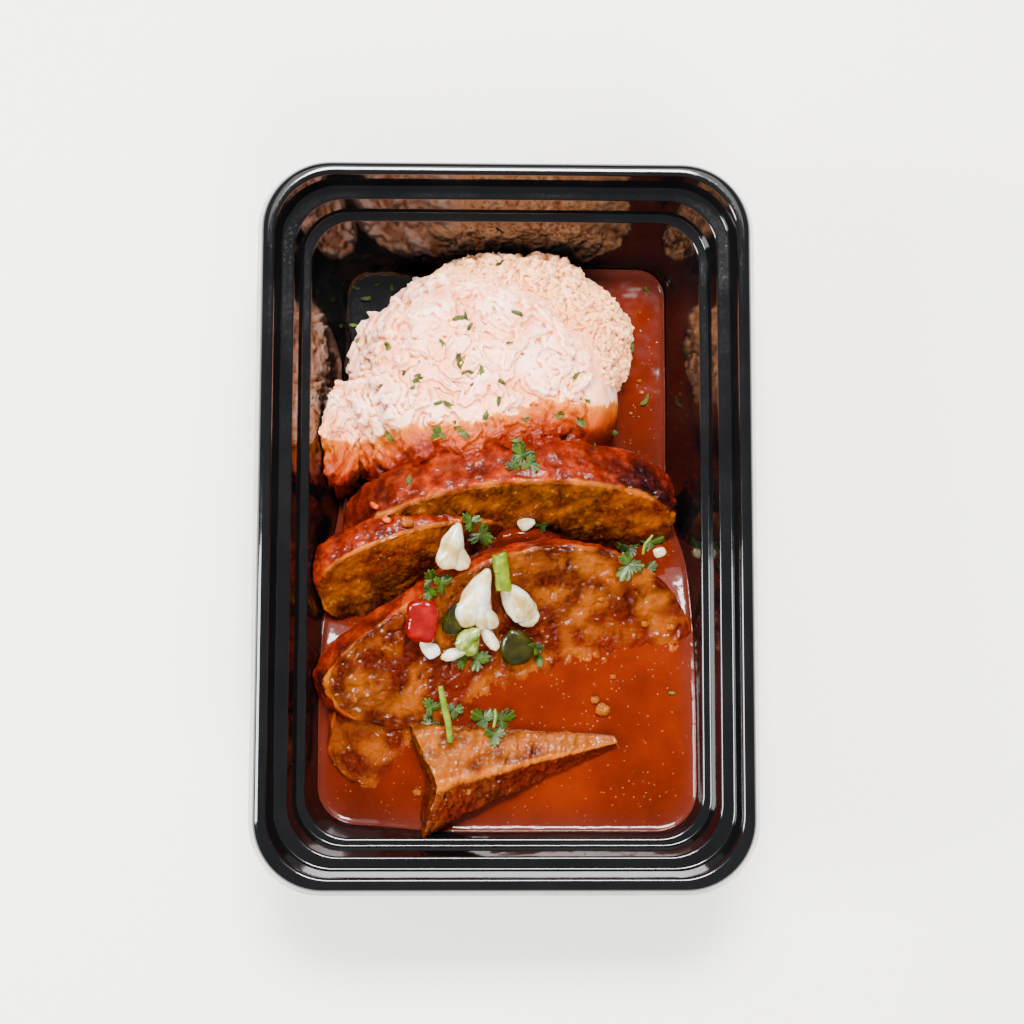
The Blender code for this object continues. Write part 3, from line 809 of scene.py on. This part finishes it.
def tomato_gravy():
    """Tomato gravy thickened with meat juices: glossy and nearly opaque, red brown, with
    fine pale specks of meat and fat, and a darker, duller band where it meets the tray,
    partly a film of fat and partly painted shade along the walls."""
    stuff, tree, shader = new_material("tomato_gravy_simmered")
    place = object_place(tree)
    rim = paint_value(tree, "rim")
    clouds = noise(tree, place, 30.0, detail=4.0, roughness=0.6)
    colour = ramp(tree, clouds, ((0.34, "#3A0A00"), (0.5, "#460D00"), (0.66, "#521300")))
    specks = add_node(tree, "TexVoronoi", {"Vector": place, "Scale": per_mm(1.9)},
                      feature="F1").outputs["Distance"]
    sparse = noise(tree, place, 4.5, detail=2.0)
    dots = combine(tree, "MULTIPLY", span(tree, specks, 0.08, 0.20, 1.0, 0.0),
                   span(tree, sparse, 0.48, 0.56))
    colour = tint(tree, colour, "#8A4420", dots, 0.0, 1.0, 0.0, 0.7)
    # band along the walls, partly a film of fat and partly painted shade: darker and duller than
    # the gravy
    wall_film_and_shade = combine(tree, "MULTIPLY", rim, span(tree, clouds, 0.3, 0.65, 0.5, 1.2))
    colour = tint(tree, colour, "#3C1812", wall_film_and_shade, 0.05, 0.8, 0.0, 0.75)
    rough = span(tree, sparse, 0.3, 0.7, 0.06, 0.16)
    set_shader(tree, shader, Base_Color=colour, Roughness=rough,
               Normal=bump(tree, dots, 0.25), IOR=1.4, Coat_Weight=0.08,
               Coat_Roughness=0.05, Specular_IOR_Level=0.2, Subsurface_Weight=0.12,
               Subsurface_Radius=(1.0, 0.3, 0.1), Subsurface_Scale=0.002)
    return stuff


dry_food = [thing for thing in bpy.data.objects if thing.name.endswith("_baked")]
stand_for(make_gravy(tomato_gravy(), dry_food), "gravy")


# === Mashed potato ============================================================
# Two servings of cooled mashed potato: a scooped dome whose top has torn into flakes, and a
# coarser heap behind it. Rings run from a heap's foot over its side to its top. Tomato
# glaze has soaked into the near side of the dome.

MASH_COLUMNS = 430


def make_mash(name, centre, radii, height, powers, bumps, seed, relief, stain, material, rows,
              turn=0.0, slump=0.0):
    """Heap whose height falls with the distance r from its middle as
    (1 - r ** side) ** (1 / top), raised by a relief and painted with a stain. slump is the
    share of its height that it loses from its left side to its right."""
    side_power, top_power = powers
    angles = full_turn(MASH_COLUMNS)
    edge = 1.0 + ripple(angles, bumps, seed, first=3, last=9)
    share = np.sin(np.linspace(pi / 2.0, 0.02, rows))[:, None]
    rise = height * (1.0 - share ** side_power) ** (1.0 / top_power)
    turned = Matrix.Rotation(radians(turn), 3, "Z")
    local = joined(share * radii[0] * edge * np.cos(angles),
                   share * radii[1] * edge * np.sin(angles),
                   FLOOR + rise * (1.0 - slump * (0.5 + 0.5 * share * np.cos(angles))))
    points = local @ np.array(turned).T + (centre[0], centre[1], 0.0)
    outward = joined(np.cos(angles + radians(turn)), np.sin(angles + radians(turn)))
    normal = ring_normals(outward, np.gradient(rise[:, 0]),
                          -np.gradient(share[:, 0]) * np.mean(radii))
    lift = relief(points, share, angles) * clamp(points[..., 2] / 6.0)
    points = inside_well(points + normal * lift[..., None])
    # hollow: how far the relief lies low, for painted shade in hollows and painted highlight on
    # raised parts
    paints = {"stain": stain(points), "hollow": hollows(lift, 6)}
    return make_surface(name, points, material, paints=paints)


def torn_relief(points, share, angles):
    """Flakes torn from the dome: terraces of a bent noise field, with ragged low cliffs
    between them, fading to the smooth band that the scoop left on the right."""
    bend = joined(*(layered_noise(points, 12.0, seed, octaves=3) for seed in (61, 63, 65)))
    bent = points * (1.0, 1.0, 1.3) + 5.0 * bend
    swell = layered_noise(bent * (1.0, 1.4, 1.0), 13.0, 167, octaves=2)
    steps = swell * 2.8 + 0.4 * layered_noise(bent, 5.0, 70, octaves=4, gain=0.6)
    level = np.floor(steps)
    rest = steps - level
    terrace = level + clamp((rest - 0.8) / 0.2)
    fluff = layered_noise(bent, 2.4, 73, octaves=3, gain=0.6)
    torn = 1.5 * terrace + 0.35 * fluff + 0.5 * rest
    smooth = 0.45 * layered_noise(points, 9.0, 79, octaves=2)
    toward = clamp(np.cos(angles - radians(25.0)) * 1.6)
    band = clamp((share - 0.72) / 0.12) * toward
    return torn * (1.0 - band) + smooth * band - 0.4


def knobbly_relief(points, share, angles):
    """Coarse lumps of potato with soft clefts between them and a ragged foot."""
    bent = points + 2.5 * layered_noise(points, 8.0, 81)[..., None]
    knobs = np.sqrt(lumps(bent, 13.0, 83))
    steps = np.floor(2.2 * layered_noise(bent, 7.0, 87, octaves=3, gain=0.6))
    fine = layered_noise(bent, 3.2, 85, octaves=4, gain=0.6)
    return 2.2 * knobs + 0.8 * steps + 0.8 * fine - 1.0


def glaze_stain(points):
    """How deep the glaze has soaked in: it ends at a wavy line across the dome that runs
    farther up on the right, and is deepest next to the back slice."""
    x, y = points[..., 0], points[..., 1]
    line = 33.5 + 0.16 * x + 1.5 * np.sin(x / 6.0) + 3.0 * layered_noise(points, 10.0, 91, 4, 0.6)
    foot = 0.7 * clamp((13.0 - points[..., 2]) / 13.0) * (y < 45.0)
    return np.clip((line - y) / 10.0 + 0.25 + foot, 0.0, 1.6)


def no_stain(points):
    """Clean potato."""
    return np.zeros(points.shape[:2])


def mashed_potato(name, stops, tear_shade, crest):
    """Steamed and mashed potato: matt, moist and slightly translucent, with a painted highlight
    whitening its raised flakes and painted shade warming its tears. The stain runs from yellow
    to orange to red."""
    stuff, tree, shader = new_material(name)
    place = object_place(tree)
    stain, hollow = paint_value(tree, "stain"), paint_value(tree, "hollow")
    patches = noise(tree, place, 11.0, detail=5.0, roughness=0.6, distortion=0.6)
    fine = noise(tree, place, 1.0, detail=5.0, roughness=0.7)
    colour = ramp(tree, patches, stops)
    # painted shade: tears darkened and warmed where the relief lies below its neighbours
    colour = tint(tree, colour, tear_shade, hollow, 0.0, 0.45, 0.0, 0.95)
    # painted highlight: raised flakes whitened where the relief stands above its neighbours
    colour = tint(tree, colour, crest, hollow, -0.5, -0.1, 0.5, 0.0)
    soaked = ramp(tree, stain, ((0.02, "#D09028"), (0.1, "#B45E00"), (0.3, "#984000"),
                                (0.6, "#8A2E00"), (1.0, "#5C1000")))
    colour = tint(tree, colour, soaked, stain, 0.0, 0.12)
    rough = span(tree, stain, 0.1, 0.9, 0.55, 0.22)
    relief = bump(tree, fine, 0.25, bump(tree, patches, 0.5))
    set_shader(tree, shader, Base_Color=colour, Roughness=rough, Normal=relief,
               Specular_IOR_Level=0.2, Subsurface_Weight=0.2,
               Subsurface_Radius=(1.0, 0.7, 0.5), Subsurface_Scale=0.002)
    return stuff


# the last two colours of each potato are painted shade for its hollows and painted highlight for
# its crests
scooped = mashed_potato("mashed_potato_scooped", ((0.36, "#E88C5C"), (0.5, "#F2AA86"),
                                                  (0.64, "#F8C6B0")), "#A85824", "#FBD8C8")
coarse = mashed_potato("mashed_potato_coarse", ((0.34, "#D88C58"), (0.5, "#EA9E68"),
                                                (0.66, "#F2B284")), "#8E4A22", "#F5C096")
scoop = make_mash("mash_dome_torn", (-8.0, 42.0), (46.0, 46.0), 41.0, (2.6, 2.2), 0.03, 21,
                  torn_relief, glaze_stain, scooped, 215)
heap = make_mash("mash_heap_coarse", (3.0, 60.5), (39.0, 33.0), 29.0, (4.0, 2.6), 0.05, 33,
                 knobbly_relief, no_stain, coarse, 150)
flake = make_mash("mash_flake_torn", (-52.0, 30.0), (8.0, 18.0), 33.0, (5.0, 3.0), 0.05, 45,
                  torn_relief, glaze_stain, scooped, 60, turn=-6.0, slump=0.55)
for piece, node, slot in ((scoop, "mash_scoop", "mashed_potato"),
                          (heap, "mash_back", "coarse_mashed_potato"),
                          (flake, "mash_flake", "mashed_potato")):
    stand_for(piece, node)


# === Diced garnish ============================================================
# Raw onion, tomato, green pepper and scallion, cut by hand and heaped on the middle slice.
# Onion and pepper pieces are curved flakes of their layer; the tomato is a soft dice.

MIDDLE_SIZE, MIDDLE_SAG, MIDDLE_PLACE = SLICES[1][1], SLICES[1][5], frame_matrix(*SLICES[1][7])


def laid(points, across, along, lift, lean=0.0, roll=0.0, turn=0.0):
    """Points laid on the middle slice: turned, then set a lift above its cut face."""
    reach = np.hypot(across / MIDDLE_SIZE[0], along / max(MIDDLE_SIZE[1:3]))
    sink = MIDDLE_SAG * clamp(1.0 - reach ** 2)
    spot = (across, along, lift - sink)
    return placed(points, MIDDLE_PLACE @ frame_matrix(spot, lean, roll, turn))


def plate_rings(first, last, rings):
    """Reach of each ring of a thin plate, out over its top and in again below its edge, and
    the side on which the ring lies."""
    share = np.concatenate((np.linspace(first, last, rings), (1.0,),
                            np.linspace(last, first, rings)))
    side = np.concatenate((np.ones(rings), (0.0,), -np.ones(rings)))
    return share[:, None], side[:, None]


def petal(size, curl, taper, seed, ragged=0.06):
    """Flake of an onion layer or pepper wall: an oval plate, bent down at its edges by
    curl, narrowed towards its far end, its edge ragged and its faces softly rippled."""
    length, width, thickness = size
    angles = full_turn(72)
    share, side = plate_rings(0.05, 0.95, 12)
    edge = 1.0 + ripple(angles, ragged, seed, first=2, last=11)
    across, ahead = np.cos(angles) * share * edge, np.sin(angles) * share * edge
    x = across * (1.0 - taper * 0.5 * (1.0 + ahead)) * width / 2.0
    y = ahead * length / 2.0
    wave = 0.35 * layered_noise(joined(x, y * 0.3, 0.0), 3.6, seed + 1, octaves=2)
    half = thickness / 2.0 * np.sqrt(clamp(1.0 - (share * 0.985) ** 6))
    return joined(x, y, side * half - curl * (across ** 2 + 0.6 * ahead ** 2) + wave)


def vegetable(name, stops, size, roughness, scatter, veins=0.0, clear=0.0):
    """Cut vegetable: moist and glossy with light inside it, in blotches of a size in
    millimetres, with lengthwise veins if wanted, and clear by a share."""
    stuff, tree, shader = new_material(name)
    place = object_place(tree)
    blotch = noise(tree, place, size, detail=4.0)
    colour = ramp(tree, blotch, stops)
    across = add_node(tree, "Mapping", {"Vector": place, "Scale": (1.0, 0.2, 1.0)}).outputs[0]
    ridges = bump(tree, noise(tree, across, 0.8, detail=2.0), 0.05 + 0.2 * veins)
    set_shader(tree, shader, Base_Color=colour, Roughness=roughness, Coat_Weight=0.4,
               Coat_Roughness=0.04, Specular_IOR_Level=0.25, Subsurface_Weight=scatter,
               Subsurface_Radius=(1.0, 0.9, 0.6), Subsurface_Scale=0.003,
               Transmission_Weight=clear, Normal=bump(tree, blotch, 0.3, ridges))
    return stuff


white_onion = vegetable("white_onion_diced", ((0.36, "#B49450"), (0.5, "#D6C69C"),
                                              (0.62, "#F0EADC")), 7.0, 0.24, 0.25, 1.0, 0.5)
young_onion = vegetable("young_onion_diced", ((0.32, "#3A4A06"), (0.5, "#66761A"),
                                              (0.7, "#A8B070")), 3.4, 0.25, 0.3, 1.0, 0.3)
bell_pepper = vegetable("green_pepper_diced", ((0.3, "#0E0E00"), (0.55, "#1C1A00"),
                                               (0.75, "#2E2E00")), 4.0, 0.2, 0.1)
ripe_tomato = vegetable("tomato_diced", ((0.3, "#4A0000"), (0.55, "#5E0000"),
                                         (0.8, "#7E0400")), 4.5, 0.16, 0.15)
spring_leaf = vegetable("scallion_leaf_cut", ((0.3, "#3A4A00"), (0.55, "#506000"),
                                              (0.75, "#74840A")), 3.0, 0.24, 0.25, veins=0.8)

GARNISH = (
    # node, (length, width, thickness), curl, taper, across, along, lift, (lean, turn), seed,
    # number of skins that lie on each other, each smaller than the one above it
    ("pepper_small", (11.5, 9.0, 2.0), 0.5, 0.4, -13.0, 16.0, 3.0, (0.0, -25.0), 101, 1),
    ("pepper_large", (12.0, 14.0, 2.6), 1.0, 0.5, 5.0, 5.0, 3.4, (0.0, 20.0), 103, 1),
    ("onion_crest", (14.5, 11.0, 0.8), 3.0, 0.6, -12.5, 39.0, 5.2, (-6.0, -20.0), 105, 2),
    ("onion_long", (19.5, 12.5, 0.8), 3.0, 0.55, -6.6, 22.0, 6.6, (4.0, -28.0), 107, 3),
    ("onion_right", (13.0, 11.5, 0.8), 2.6, 0.4, 6.0, 19.0, 4.0, (0.0, 30.0), 109, 3),
    ("onion_thin", (11.5, 5.5, 0.9), 1.4, 0.7, -3.6, 9.5, 3.3, (0.0, 25.0), 111, 1),
    ("onion_near", (10.0, 4.8, 1.0), 1.2, 0.5, -13.5, 4.6, 2.6, (0.0, -75.0), 113, 1),
    ("onion_left", (7.5, 6.2, 1.1), 0.9, 0.5, -22.0, 7.0, 2.6, (0.0, 40.0), 115, 1),
    ("onion_green", (9.5, 7.0, 1.0), 1.4, 0.4, -10.0, 9.6, 6.4, (5.0, -50.0), 117, 2),
)
for node, size, curl, taper, across, along, lift, (lean, turn), seed, layers in GARNISH:
    stuff, slot = ((bell_pepper, "green_pepper") if "pepper" in node else
                   (young_onion, "young_onion") if "green" in node else (white_onion, "onion"))
    skins = []
    for layer in range(layers):
        shrink = 1.0 - 0.2 * layer
        grid = petal((size[0] * shrink, size[1] * shrink, size[2]), curl, taper, seed + layer,
                     0.05 if "pepper" in node else 0.08)
        skins.append(skin(laid(grid, across + 1.6 * layer, along - 2.4 * layer,
                               lift - 0.8 * layer, lean, 12.0 * layer, turn + 34.0 * layer),
                          flip=True))
    stand_for(make_piece(node + "_cut", skins, stuff), node)


def soft_dice(size, power, seed):
    """Dice with round edges: each direction's reach follows |x|**n + |y|**n + |z|**n = 1."""
    turn = full_turn(96)
    rise = np.linspace(-0.485 * pi, 0.485 * pi, 64)[:, None]
    way = joined(np.cos(rise) * np.cos(turn), np.cos(rise) * np.sin(turn), np.sin(rise))
    reach = np.sum(np.abs(way) ** power, axis=-1) ** (-1.0 / power)
    points = way * reach[..., None] * np.array(size) / 2.0
    wave = 0.8 * layered_noise(points, 6.0, seed, octaves=3)
    return points * (1.0 + wave / 6.0)[..., None]


dice = laid(soft_dice((9.6, 12.4, 6.0), 3.4, 123), -23.5, 16.5, 4.0, turn=-8.0)
stand_for(make_surface("tomato_dice_cut", dice, ripe_tomato), "tomato_dice")

# the scallion is a tube split along its underside: its section runs out and back again
angles = np.radians(np.linspace(-50.0, 230.0, 40))
arc = joined(np.cos(angles), np.sin(angles))
section = np.concatenate((2.4 * arc, 1.5 * arc[::-1]))
lengthwise = np.linspace(-5.75, 5.75, 24)[:, None]
tube = joined(section[:, 0] * (1.0 + 0.04 * np.sin(lengthwise)),
              lengthwise + 0.35 * np.sin(section[:, 0]) * np.sign(lengthwise), section[:, 1])
tube = laid(tube, 1.8, 29.5, 4.2, turn=3.0)
stand_for(make_surface("scallion_cut", tube, spring_leaf, flip=True), "scallion")


# === Herbs ====================================================================
# Fresh cilantro leaves torn from their stems, and flakes of dried parsley. A leaf is a thin
# closed plate, its three lobes toothed along the edge, cupped and creased along its veins.


RAY_HEIGHT = 0.09
DOWN = Vector((0.0, 0.0, -1.0))


def surfaces_below(names):
    """Search trees of the named pieces, for setting things down on them."""
    return [BVHTree.FromObject(bpy.data.objects[name], bpy.context.evaluated_depsgraph_get())
            for name in names]


def settle(trees, x, y):
    """Height in millimetres of the highest of the surfaces at a place."""
    heights = [0.0]
    for tree in trees:
        hit = tree.ray_cast(Vector((x * MM, y * MM, RAY_HEIGHT)), DOWN)[0]
        if hit is not None:
            heights.append(hit.z / MM)
    return max(heights)


def leaf_plate(size, seed, lobes=1.5, depth=0.62, thickness=0.3):
    """Leaf about its middle, tip along +y: the reach to its edge dips between the lobes
    and is toothed, and the blade is cupped and creased."""
    angles = np.linspace(-pi, pi, 210, endpoint=False)
    share, side = plate_rings(0.06, 0.97, 14)
    lobe = 1.0 - depth * (1.0 - np.abs(np.cos(lobes * angles)) ** 0.8)
    teeth = 0.80 + 0.28 * np.abs(np.cos(7.5 * angles)) ** 0.7 + ripple(angles, 0.08, seed, 2, 7)
    reach = size * lobe * teeth * (0.7 + 0.3 * np.cos(angles / 2.0))
    radius = share * reach
    x, y = radius * np.sin(angles), radius * np.cos(angles)
    crease = 0.10 * size * np.cos(3.0 * angles) * share ** 1.5
    cup = 0.16 * size * share ** 2 * np.cos(2.0 * angles + seed)
    vein = np.abs(np.sin(1.5 * angles)) * np.ones_like(x)
    return joined(x, y, crease + cup + side * thickness / 2.0), vein


def herb_leaf(name, dark, bright, roughness):
    """Leaf blade: satin green with paler veins between its lobes."""
    stuff, tree, shader = new_material(name)
    place = object_place(tree)
    vein = paint_value(tree, "vein")
    blotch = noise(tree, place, 3.0, detail=4.0)
    colour = ramp(tree, blotch, ((0.35, dark), (0.65, bright)))
    colour = tint(tree, colour, "#46561A", vein, 0.0, 0.12, 0.5, 0.0)
    grain = bump(tree, noise(tree, place, 0.7, detail=3.0), 0.15)
    set_shader(tree, shader, Base_Color=colour, Roughness=roughness, Subsurface_Weight=0.2,
               Subsurface_Radius=(0.5, 1.0, 0.2), Subsurface_Scale=0.001, Coat_Weight=0.06,
               Coat_Roughness=0.1, Specular_IOR_Level=0.25, Normal=grain)
    return stuff


ground = surfaces_below(("slice_back_baked", "slice_middle_baked", "slice_left_baked",
                         "slice_front_baked", "gravy_pool", "mash_dome_torn", "mash_heap_coarse",
                         "onion_right_cut", "onion_thin_cut", "pepper_large_cut"))
LEAVES = (
    # x, y, half length, turn, lean, roll, lift
    (5.0, 21.0, 4.6, 20.0, 15.0, 0.0, 1.0), (7.5, 18.0, 3.4, -120.0, 10.0, 15.0, 1.0),
    (2.5, 18.0, 2.8, 110.0, 10.0, -10.0, 0.8),
    (-10.5, 1.0, 3.8, 50.0, 20.0, 10.0, 1.6), (-7.5, -2.5, 4.6, -130.0, -12.0, 15.0, 1.6),
    (11.5, 0.5, 2.8, -40.0, 25.0, 20.0, 0.6),
    (-22.5, -17.0, 3.8, 30.0, 30.0, 10.0, 1.6), (-19.5, -18.5, 3.6, -60.0, -25.0, 20.0, 2.0),
    (-23.0, -21.0, 3.2, 150.0, 15.0, -30.0, 1.6),
    (-13.5, -41.5, 3.6, 70.0, 15.0, 10.0, 1.0), (-8.5, -41.5, 4.4, -80.0, 10.0, 0.0, 1.0),
    (9.5, -38.0, 2.8, -60.0, 30.0, 30.0, 1.2), (10.5, -41.5, 2.4, -150.0, 10.0, 30.0, 1.0),
    (41.0, -5.5, 4.8, 70.0, 5.0, 0.0, 1.0), (47.5, -4.0, 4.6, -60.0, 8.0, 5.0, 1.0),
    (38.5, -12.5, 5.2, 150.0, 5.0, 0.0, 1.0), (45.5, -13.5, 4.4, -160.0, 8.0, 0.0, 1.0),
    (-22.5, -56.5, 3.4, 40.0, 15.0, 15.0, 1.2), (-23.0, -61.5, 4.0, 130.0, 10.0, 10.0, 1.0),
    (-15.5, -57.5, 3.2, -70.0, 20.0, 0.0, 0.8),
    (-6.5, -60.0, 4.4, 60.0, 8.0, 5.0, 0.8), (-1.0, -60.5, 4.8, -50.0, 10.0, 5.0, 0.8),
    (-3.0, -64.5, 3.8, 180.0, 8.0, 0.0, 0.8), (-21.0, 27.5, 3.0, 10.0, 20.0, 10.0, 0.8),
)
leaves = []
for seed, (x, y, size, turn, lean, roll, lift) in enumerate(LEAVES):
    grid, vein = leaf_plate(size, seed + 200)
    place = frame_matrix((x, y, settle(ground, x, y) + lift), lean, roll, turn)
    leaves.append(skin(placed(grid, place), paints={"vein": vein}))
cilantro = make_piece("cilantro_leaves", leaves,
                      herb_leaf("cilantro_leaf_fresh", "#121A01", "#2C4004", 0.45))

STALK_STEPS, STALK_SIDES = 24, 14
STEMS = (
    # points (x, y, height) along a stem, and its radius
    (((-19.5, -49.5, 46.0), (-18.5, -55.0, 45.0), (-17.0, -61.0, 43.5),
      (-16.5, -66.5, 42.5)), 1.05),
    (((43.0, -9.0, 35.0), (43.5, -6.0, 36.0), (46.0, -3.0, 36.0)), 0.5),
    (((-3.4, -62.0, 43.0), (-2.8, -59.0, 43.0), (-3.0, -56.5, 42.0)), 0.5),
)


def thin_stalk(path, radius):
    """Round stalk along a smoothed path, thinner at its ends."""
    path = np.array(path)
    knots = np.linspace(0.0, 1.0, len(path))
    t = np.linspace(0.0, 1.0, STALK_STEPS)
    spine = smooth_rows(joined(*(np.interp(t, knots, column) for column in path.T)), 6)
    way = np.gradient(spine, axis=0)
    way /= np.linalg.norm(way, axis=1, keepdims=True)
    side = np.cross(way, (0.0, 0.0, 1.0))
    side /= np.linalg.norm(side, axis=1, keepdims=True)
    up = np.cross(side, way)
    turn = full_turn(STALK_SIDES)[:, None]
    thick = radius * (0.75 + 0.25 * np.sin(pi * t))[:, None, None]
    return spine[:, None] + thick * (np.cos(turn) * side[:, None] + np.sin(turn) * up[:, None])


stems = [skin(thin_stalk(path, radius), flip=True,
              paints={"vein": np.ones((STALK_STEPS, STALK_SIDES))}) for path, radius in STEMS]
stalks = make_piece("cilantro_stems", stems,
                    herb_leaf("cilantro_stem_fresh", "#3C4C0C", "#5A6C18", 0.3))

random = np.random.RandomState(5)
flakes = []
spread = [(-14.0 + 15.0 * random.normal(), 50.0 + 9.0 * random.normal()) for _ in range(20)]
spread += [(-8.0 + 22.0 * random.normal(), 32.0 + 5.0 * random.normal()) for _ in range(12)]
spread += [(43.0, 62.0), (47.0, 44.0), (36.0, 33.0), (28.0, 26.0), (52.0, -52.0), (-30.0, 13.0),
           (3.0, 26.0), (26.0, 40.0), (-2.0, 86.0), (48.0, 82.0), (-46.0, 79.0), (-43.0, 84.0),
           (-50.5, 70.0), (-38.0, 83.0), (-48.5, 62.0), (-50.0, 83.0), (-30.0, 85.5)]
for seed, (x, y) in enumerate(spread):
    height = max(settle(ground, x, y), TRAY_WALL)
    grid, vein = leaf_plate(random.uniform(1.4, 3.1), seed + 300, 0.5, 0.2, 0.16)
    grid = grid * (0.38, 1.0, 1.0)
    place = frame_matrix((x, y, height + 0.45), *random.uniform(-25.0, 25.0, 2),
                         random.uniform(0.0, 360.0))
    flakes.append(skin(placed(grid, place), paints={"vein": np.ones_like(vein)}))
parsley = make_piece("parsley_flakes", flakes,
                     herb_leaf("parsley_dried", "#161E02", "#424E0A", 0.6))
for piece in (cilantro, stalks, parsley):
    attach(piece, "root")


# === Crumbs and bits ==========================================================
# Crumbs of meat that broke off the slices, and a few small dice of onion and carrot.

CRUMBS = (
    # x, y, size across, lift
    (-43.2, -66.6, 4.0, 0.3), (-34.8, -64.1, 3.2, 0.3), (30.6, -57.0, 4.6, 0.6),
    (28.4, -54.2, 3.0, 0.3), (-30.3, 0.8, 4.0, 0.8), (30.0, -23.0, 2.2, 0.4),
    (-47.5, -70.0, 2.6, 0.3), (-52.0, -74.0, 2.8, 0.3), (44.0, -30.5, 2.4, 0.4),
    (52.0, -31.5, 2.6, 0.3), (34.0, -47.0, 1.8, 0.2), (-27.0, -83.0, 2.6, 0.2),
    (46.0, 47.0, 1.6, 0.3), (45.5, 51.0, 1.4, 0.3), (42.5, 40.0, 1.2, 0.3),
)
crumbs = []
for seed, (x, y, size, lift) in enumerate(CRUMBS):
    grid = soft_dice((size, size * 0.8, size * 0.8), 2.6, seed + 400)
    grid = grid * (1.0 + 0.22 * layered_noise(grid, size * 0.5, seed + 420))[..., None]
    grid = grid + (x, y, settle(ground, x, y) + lift)
    nothing = np.zeros(grid.shape[:2])
    # each crumb takes the painted edge highlight's tint evenly at half strength, so it is evenly
    # paler
    crumbs.append(skin(grid, paints={"crust": nothing, "char": nothing, "edge": nothing + 0.5,
                                     "lift": nothing, "hollow": nothing, "low": nothing + 1.0}))
loose = make_piece("meat_crumbs", crumbs, meatloaf)

BITS = (
    # x, y, (length, width, height), turn, lift
    (50.0, -7.4, (4.2, 3.4, 2.4), 20.0, 1.0), (6.8, 1.4, (5.6, 4.4, 1.8), 35.0, 0.6),
)
bits = []
for seed, (x, y, size, turn, lift) in enumerate(BITS):
    place = frame_matrix((x, y, settle(ground, x, y) + lift), 0.0, 0.0, turn)
    grid = soft_dice(size, 3.4, seed + 440)
    bits.append(skin(placed(grid, place)))
onion_bits = make_piece("onion_bits", bits, white_onion)

# points (x, y, lift) along a sliver, then its radius
CARROT = (((-5.2, -21.4, 1.0), (-4.8, -24.0, 1.2), (-4.4, -26.2, 1.0), 0.7),
          ((-41.8, 6.8, 1.2), (-40.6, 5.8, 1.3), (-39.6, 5.4, 1.2), 0.9),
          ((-37.8, 2.0, 1.2), (-36.8, 1.4, 1.3), (-35.6, 1.2, 1.2), 1.0))
slivers = []
for *path, radius in CARROT:
    path = [(x, y, settle(ground, x, y) + lift) for x, y, lift in path]
    slivers.append(skin(thin_stalk(path, radius), flip=True))
raw_carrot = vegetable("carrot_sliver", ((0.3, "#8A2402"), (0.7, "#B4400C")), 2.0, 0.2, 0.3)
carrot = make_piece("carrot_slivers", slivers, raw_carrot)
for piece in (loose, onion_bits, carrot):
    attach(piece, "root")


# === Studio ===================================================================
# A pale floor, a panel and a wide soft light overhead behind the tray, a window on the left,
# a fill from the near side that no surface mirrors, and a camera that looks almost straight
# down.

CAMERA_PLACE = (-7.28, -34.73, 501.43)
CAMERA_TURN = (4.762, -1.171, 0.128)
CAMERA_LENS = 52.75
LIGHT_TARGET = Vector((0.0, 0.0, 0.03))
FLOOR_REACH = 3.0

floor_mesh = bpy.data.meshes.new("floor")
corners = [(x * FLOOR_REACH, y * FLOOR_REACH, 0.0) for x, y in ((-1, -1), (1, -1), (1, 1), (-1, 1))]
floor_mesh.from_pydata(corners, [], [(0, 1, 2, 3)])
floor = bpy.data.objects.new("floor", floor_mesh)
bpy.context.scene.collection.objects.link(floor)
paint, paint_tree, paint_shader = new_material("painted_board_pale")
set_shader(paint_tree, paint_shader, Base_Color=linear("#D9D7D2"), Roughness=0.85)
floor_mesh.materials.append(paint)

world = bpy.data.worlds.new("room")
bpy.context.scene.world = world
world.use_nodes = True
sky = world.node_tree.nodes["Background"]
sky.inputs["Color"].default_value = (0.9, 0.95, 1.0, 1.0)
sky.inputs["Strength"].default_value = 0.5

LIGHTS = (
    # name, place, width, height, watts, colour, seen in reflections
    ("ceiling_panel", (0.0, 0.50, 0.95), 0.4, 0.22, 46.0, (1.0, 0.97, 0.94), True),
    ("rear_ceiling", (0.0, 0.85, 1.15), 1.4, 0.9, 20.0, (1.0, 0.98, 0.96), True),
    ("left_window", (-0.95, -0.1, 0.55), 0.3, 0.6, 34.0, (0.93, 0.97, 1.0), True),
    ("near_fill", (0.2, -0.7, 0.9), 0.6, 0.6, 34.0, (1.0, 0.98, 0.95), False),
)
for name, spot, width, height, watts, colour, glossy in LIGHTS:
    lamp = bpy.data.lights.new(name, "AREA")
    lamp.shape = "RECTANGLE"
    lamp.size, lamp.size_y = width, height
    lamp.energy = watts
    lamp.color = colour
    holder = bpy.data.objects.new(name, lamp)
    holder.visible_glossy = glossy
    holder.location = spot
    aim = LIGHT_TARGET - Vector(spot)
    holder.rotation_euler = aim.to_track_quat("-Z", "Y").to_euler()
    bpy.context.scene.collection.objects.link(holder)

camera_data = bpy.data.cameras.new("camera")
camera_data.lens = CAMERA_LENS
camera_data.clip_start = 0.01
camera = bpy.data.objects.new("camera", camera_data)
camera.location = Vector(CAMERA_PLACE) * MM
camera.rotation_euler = Euler([radians(angle) for angle in CAMERA_TURN])
bpy.context.scene.collection.objects.link(camera)
bpy.context.scene.camera = camera
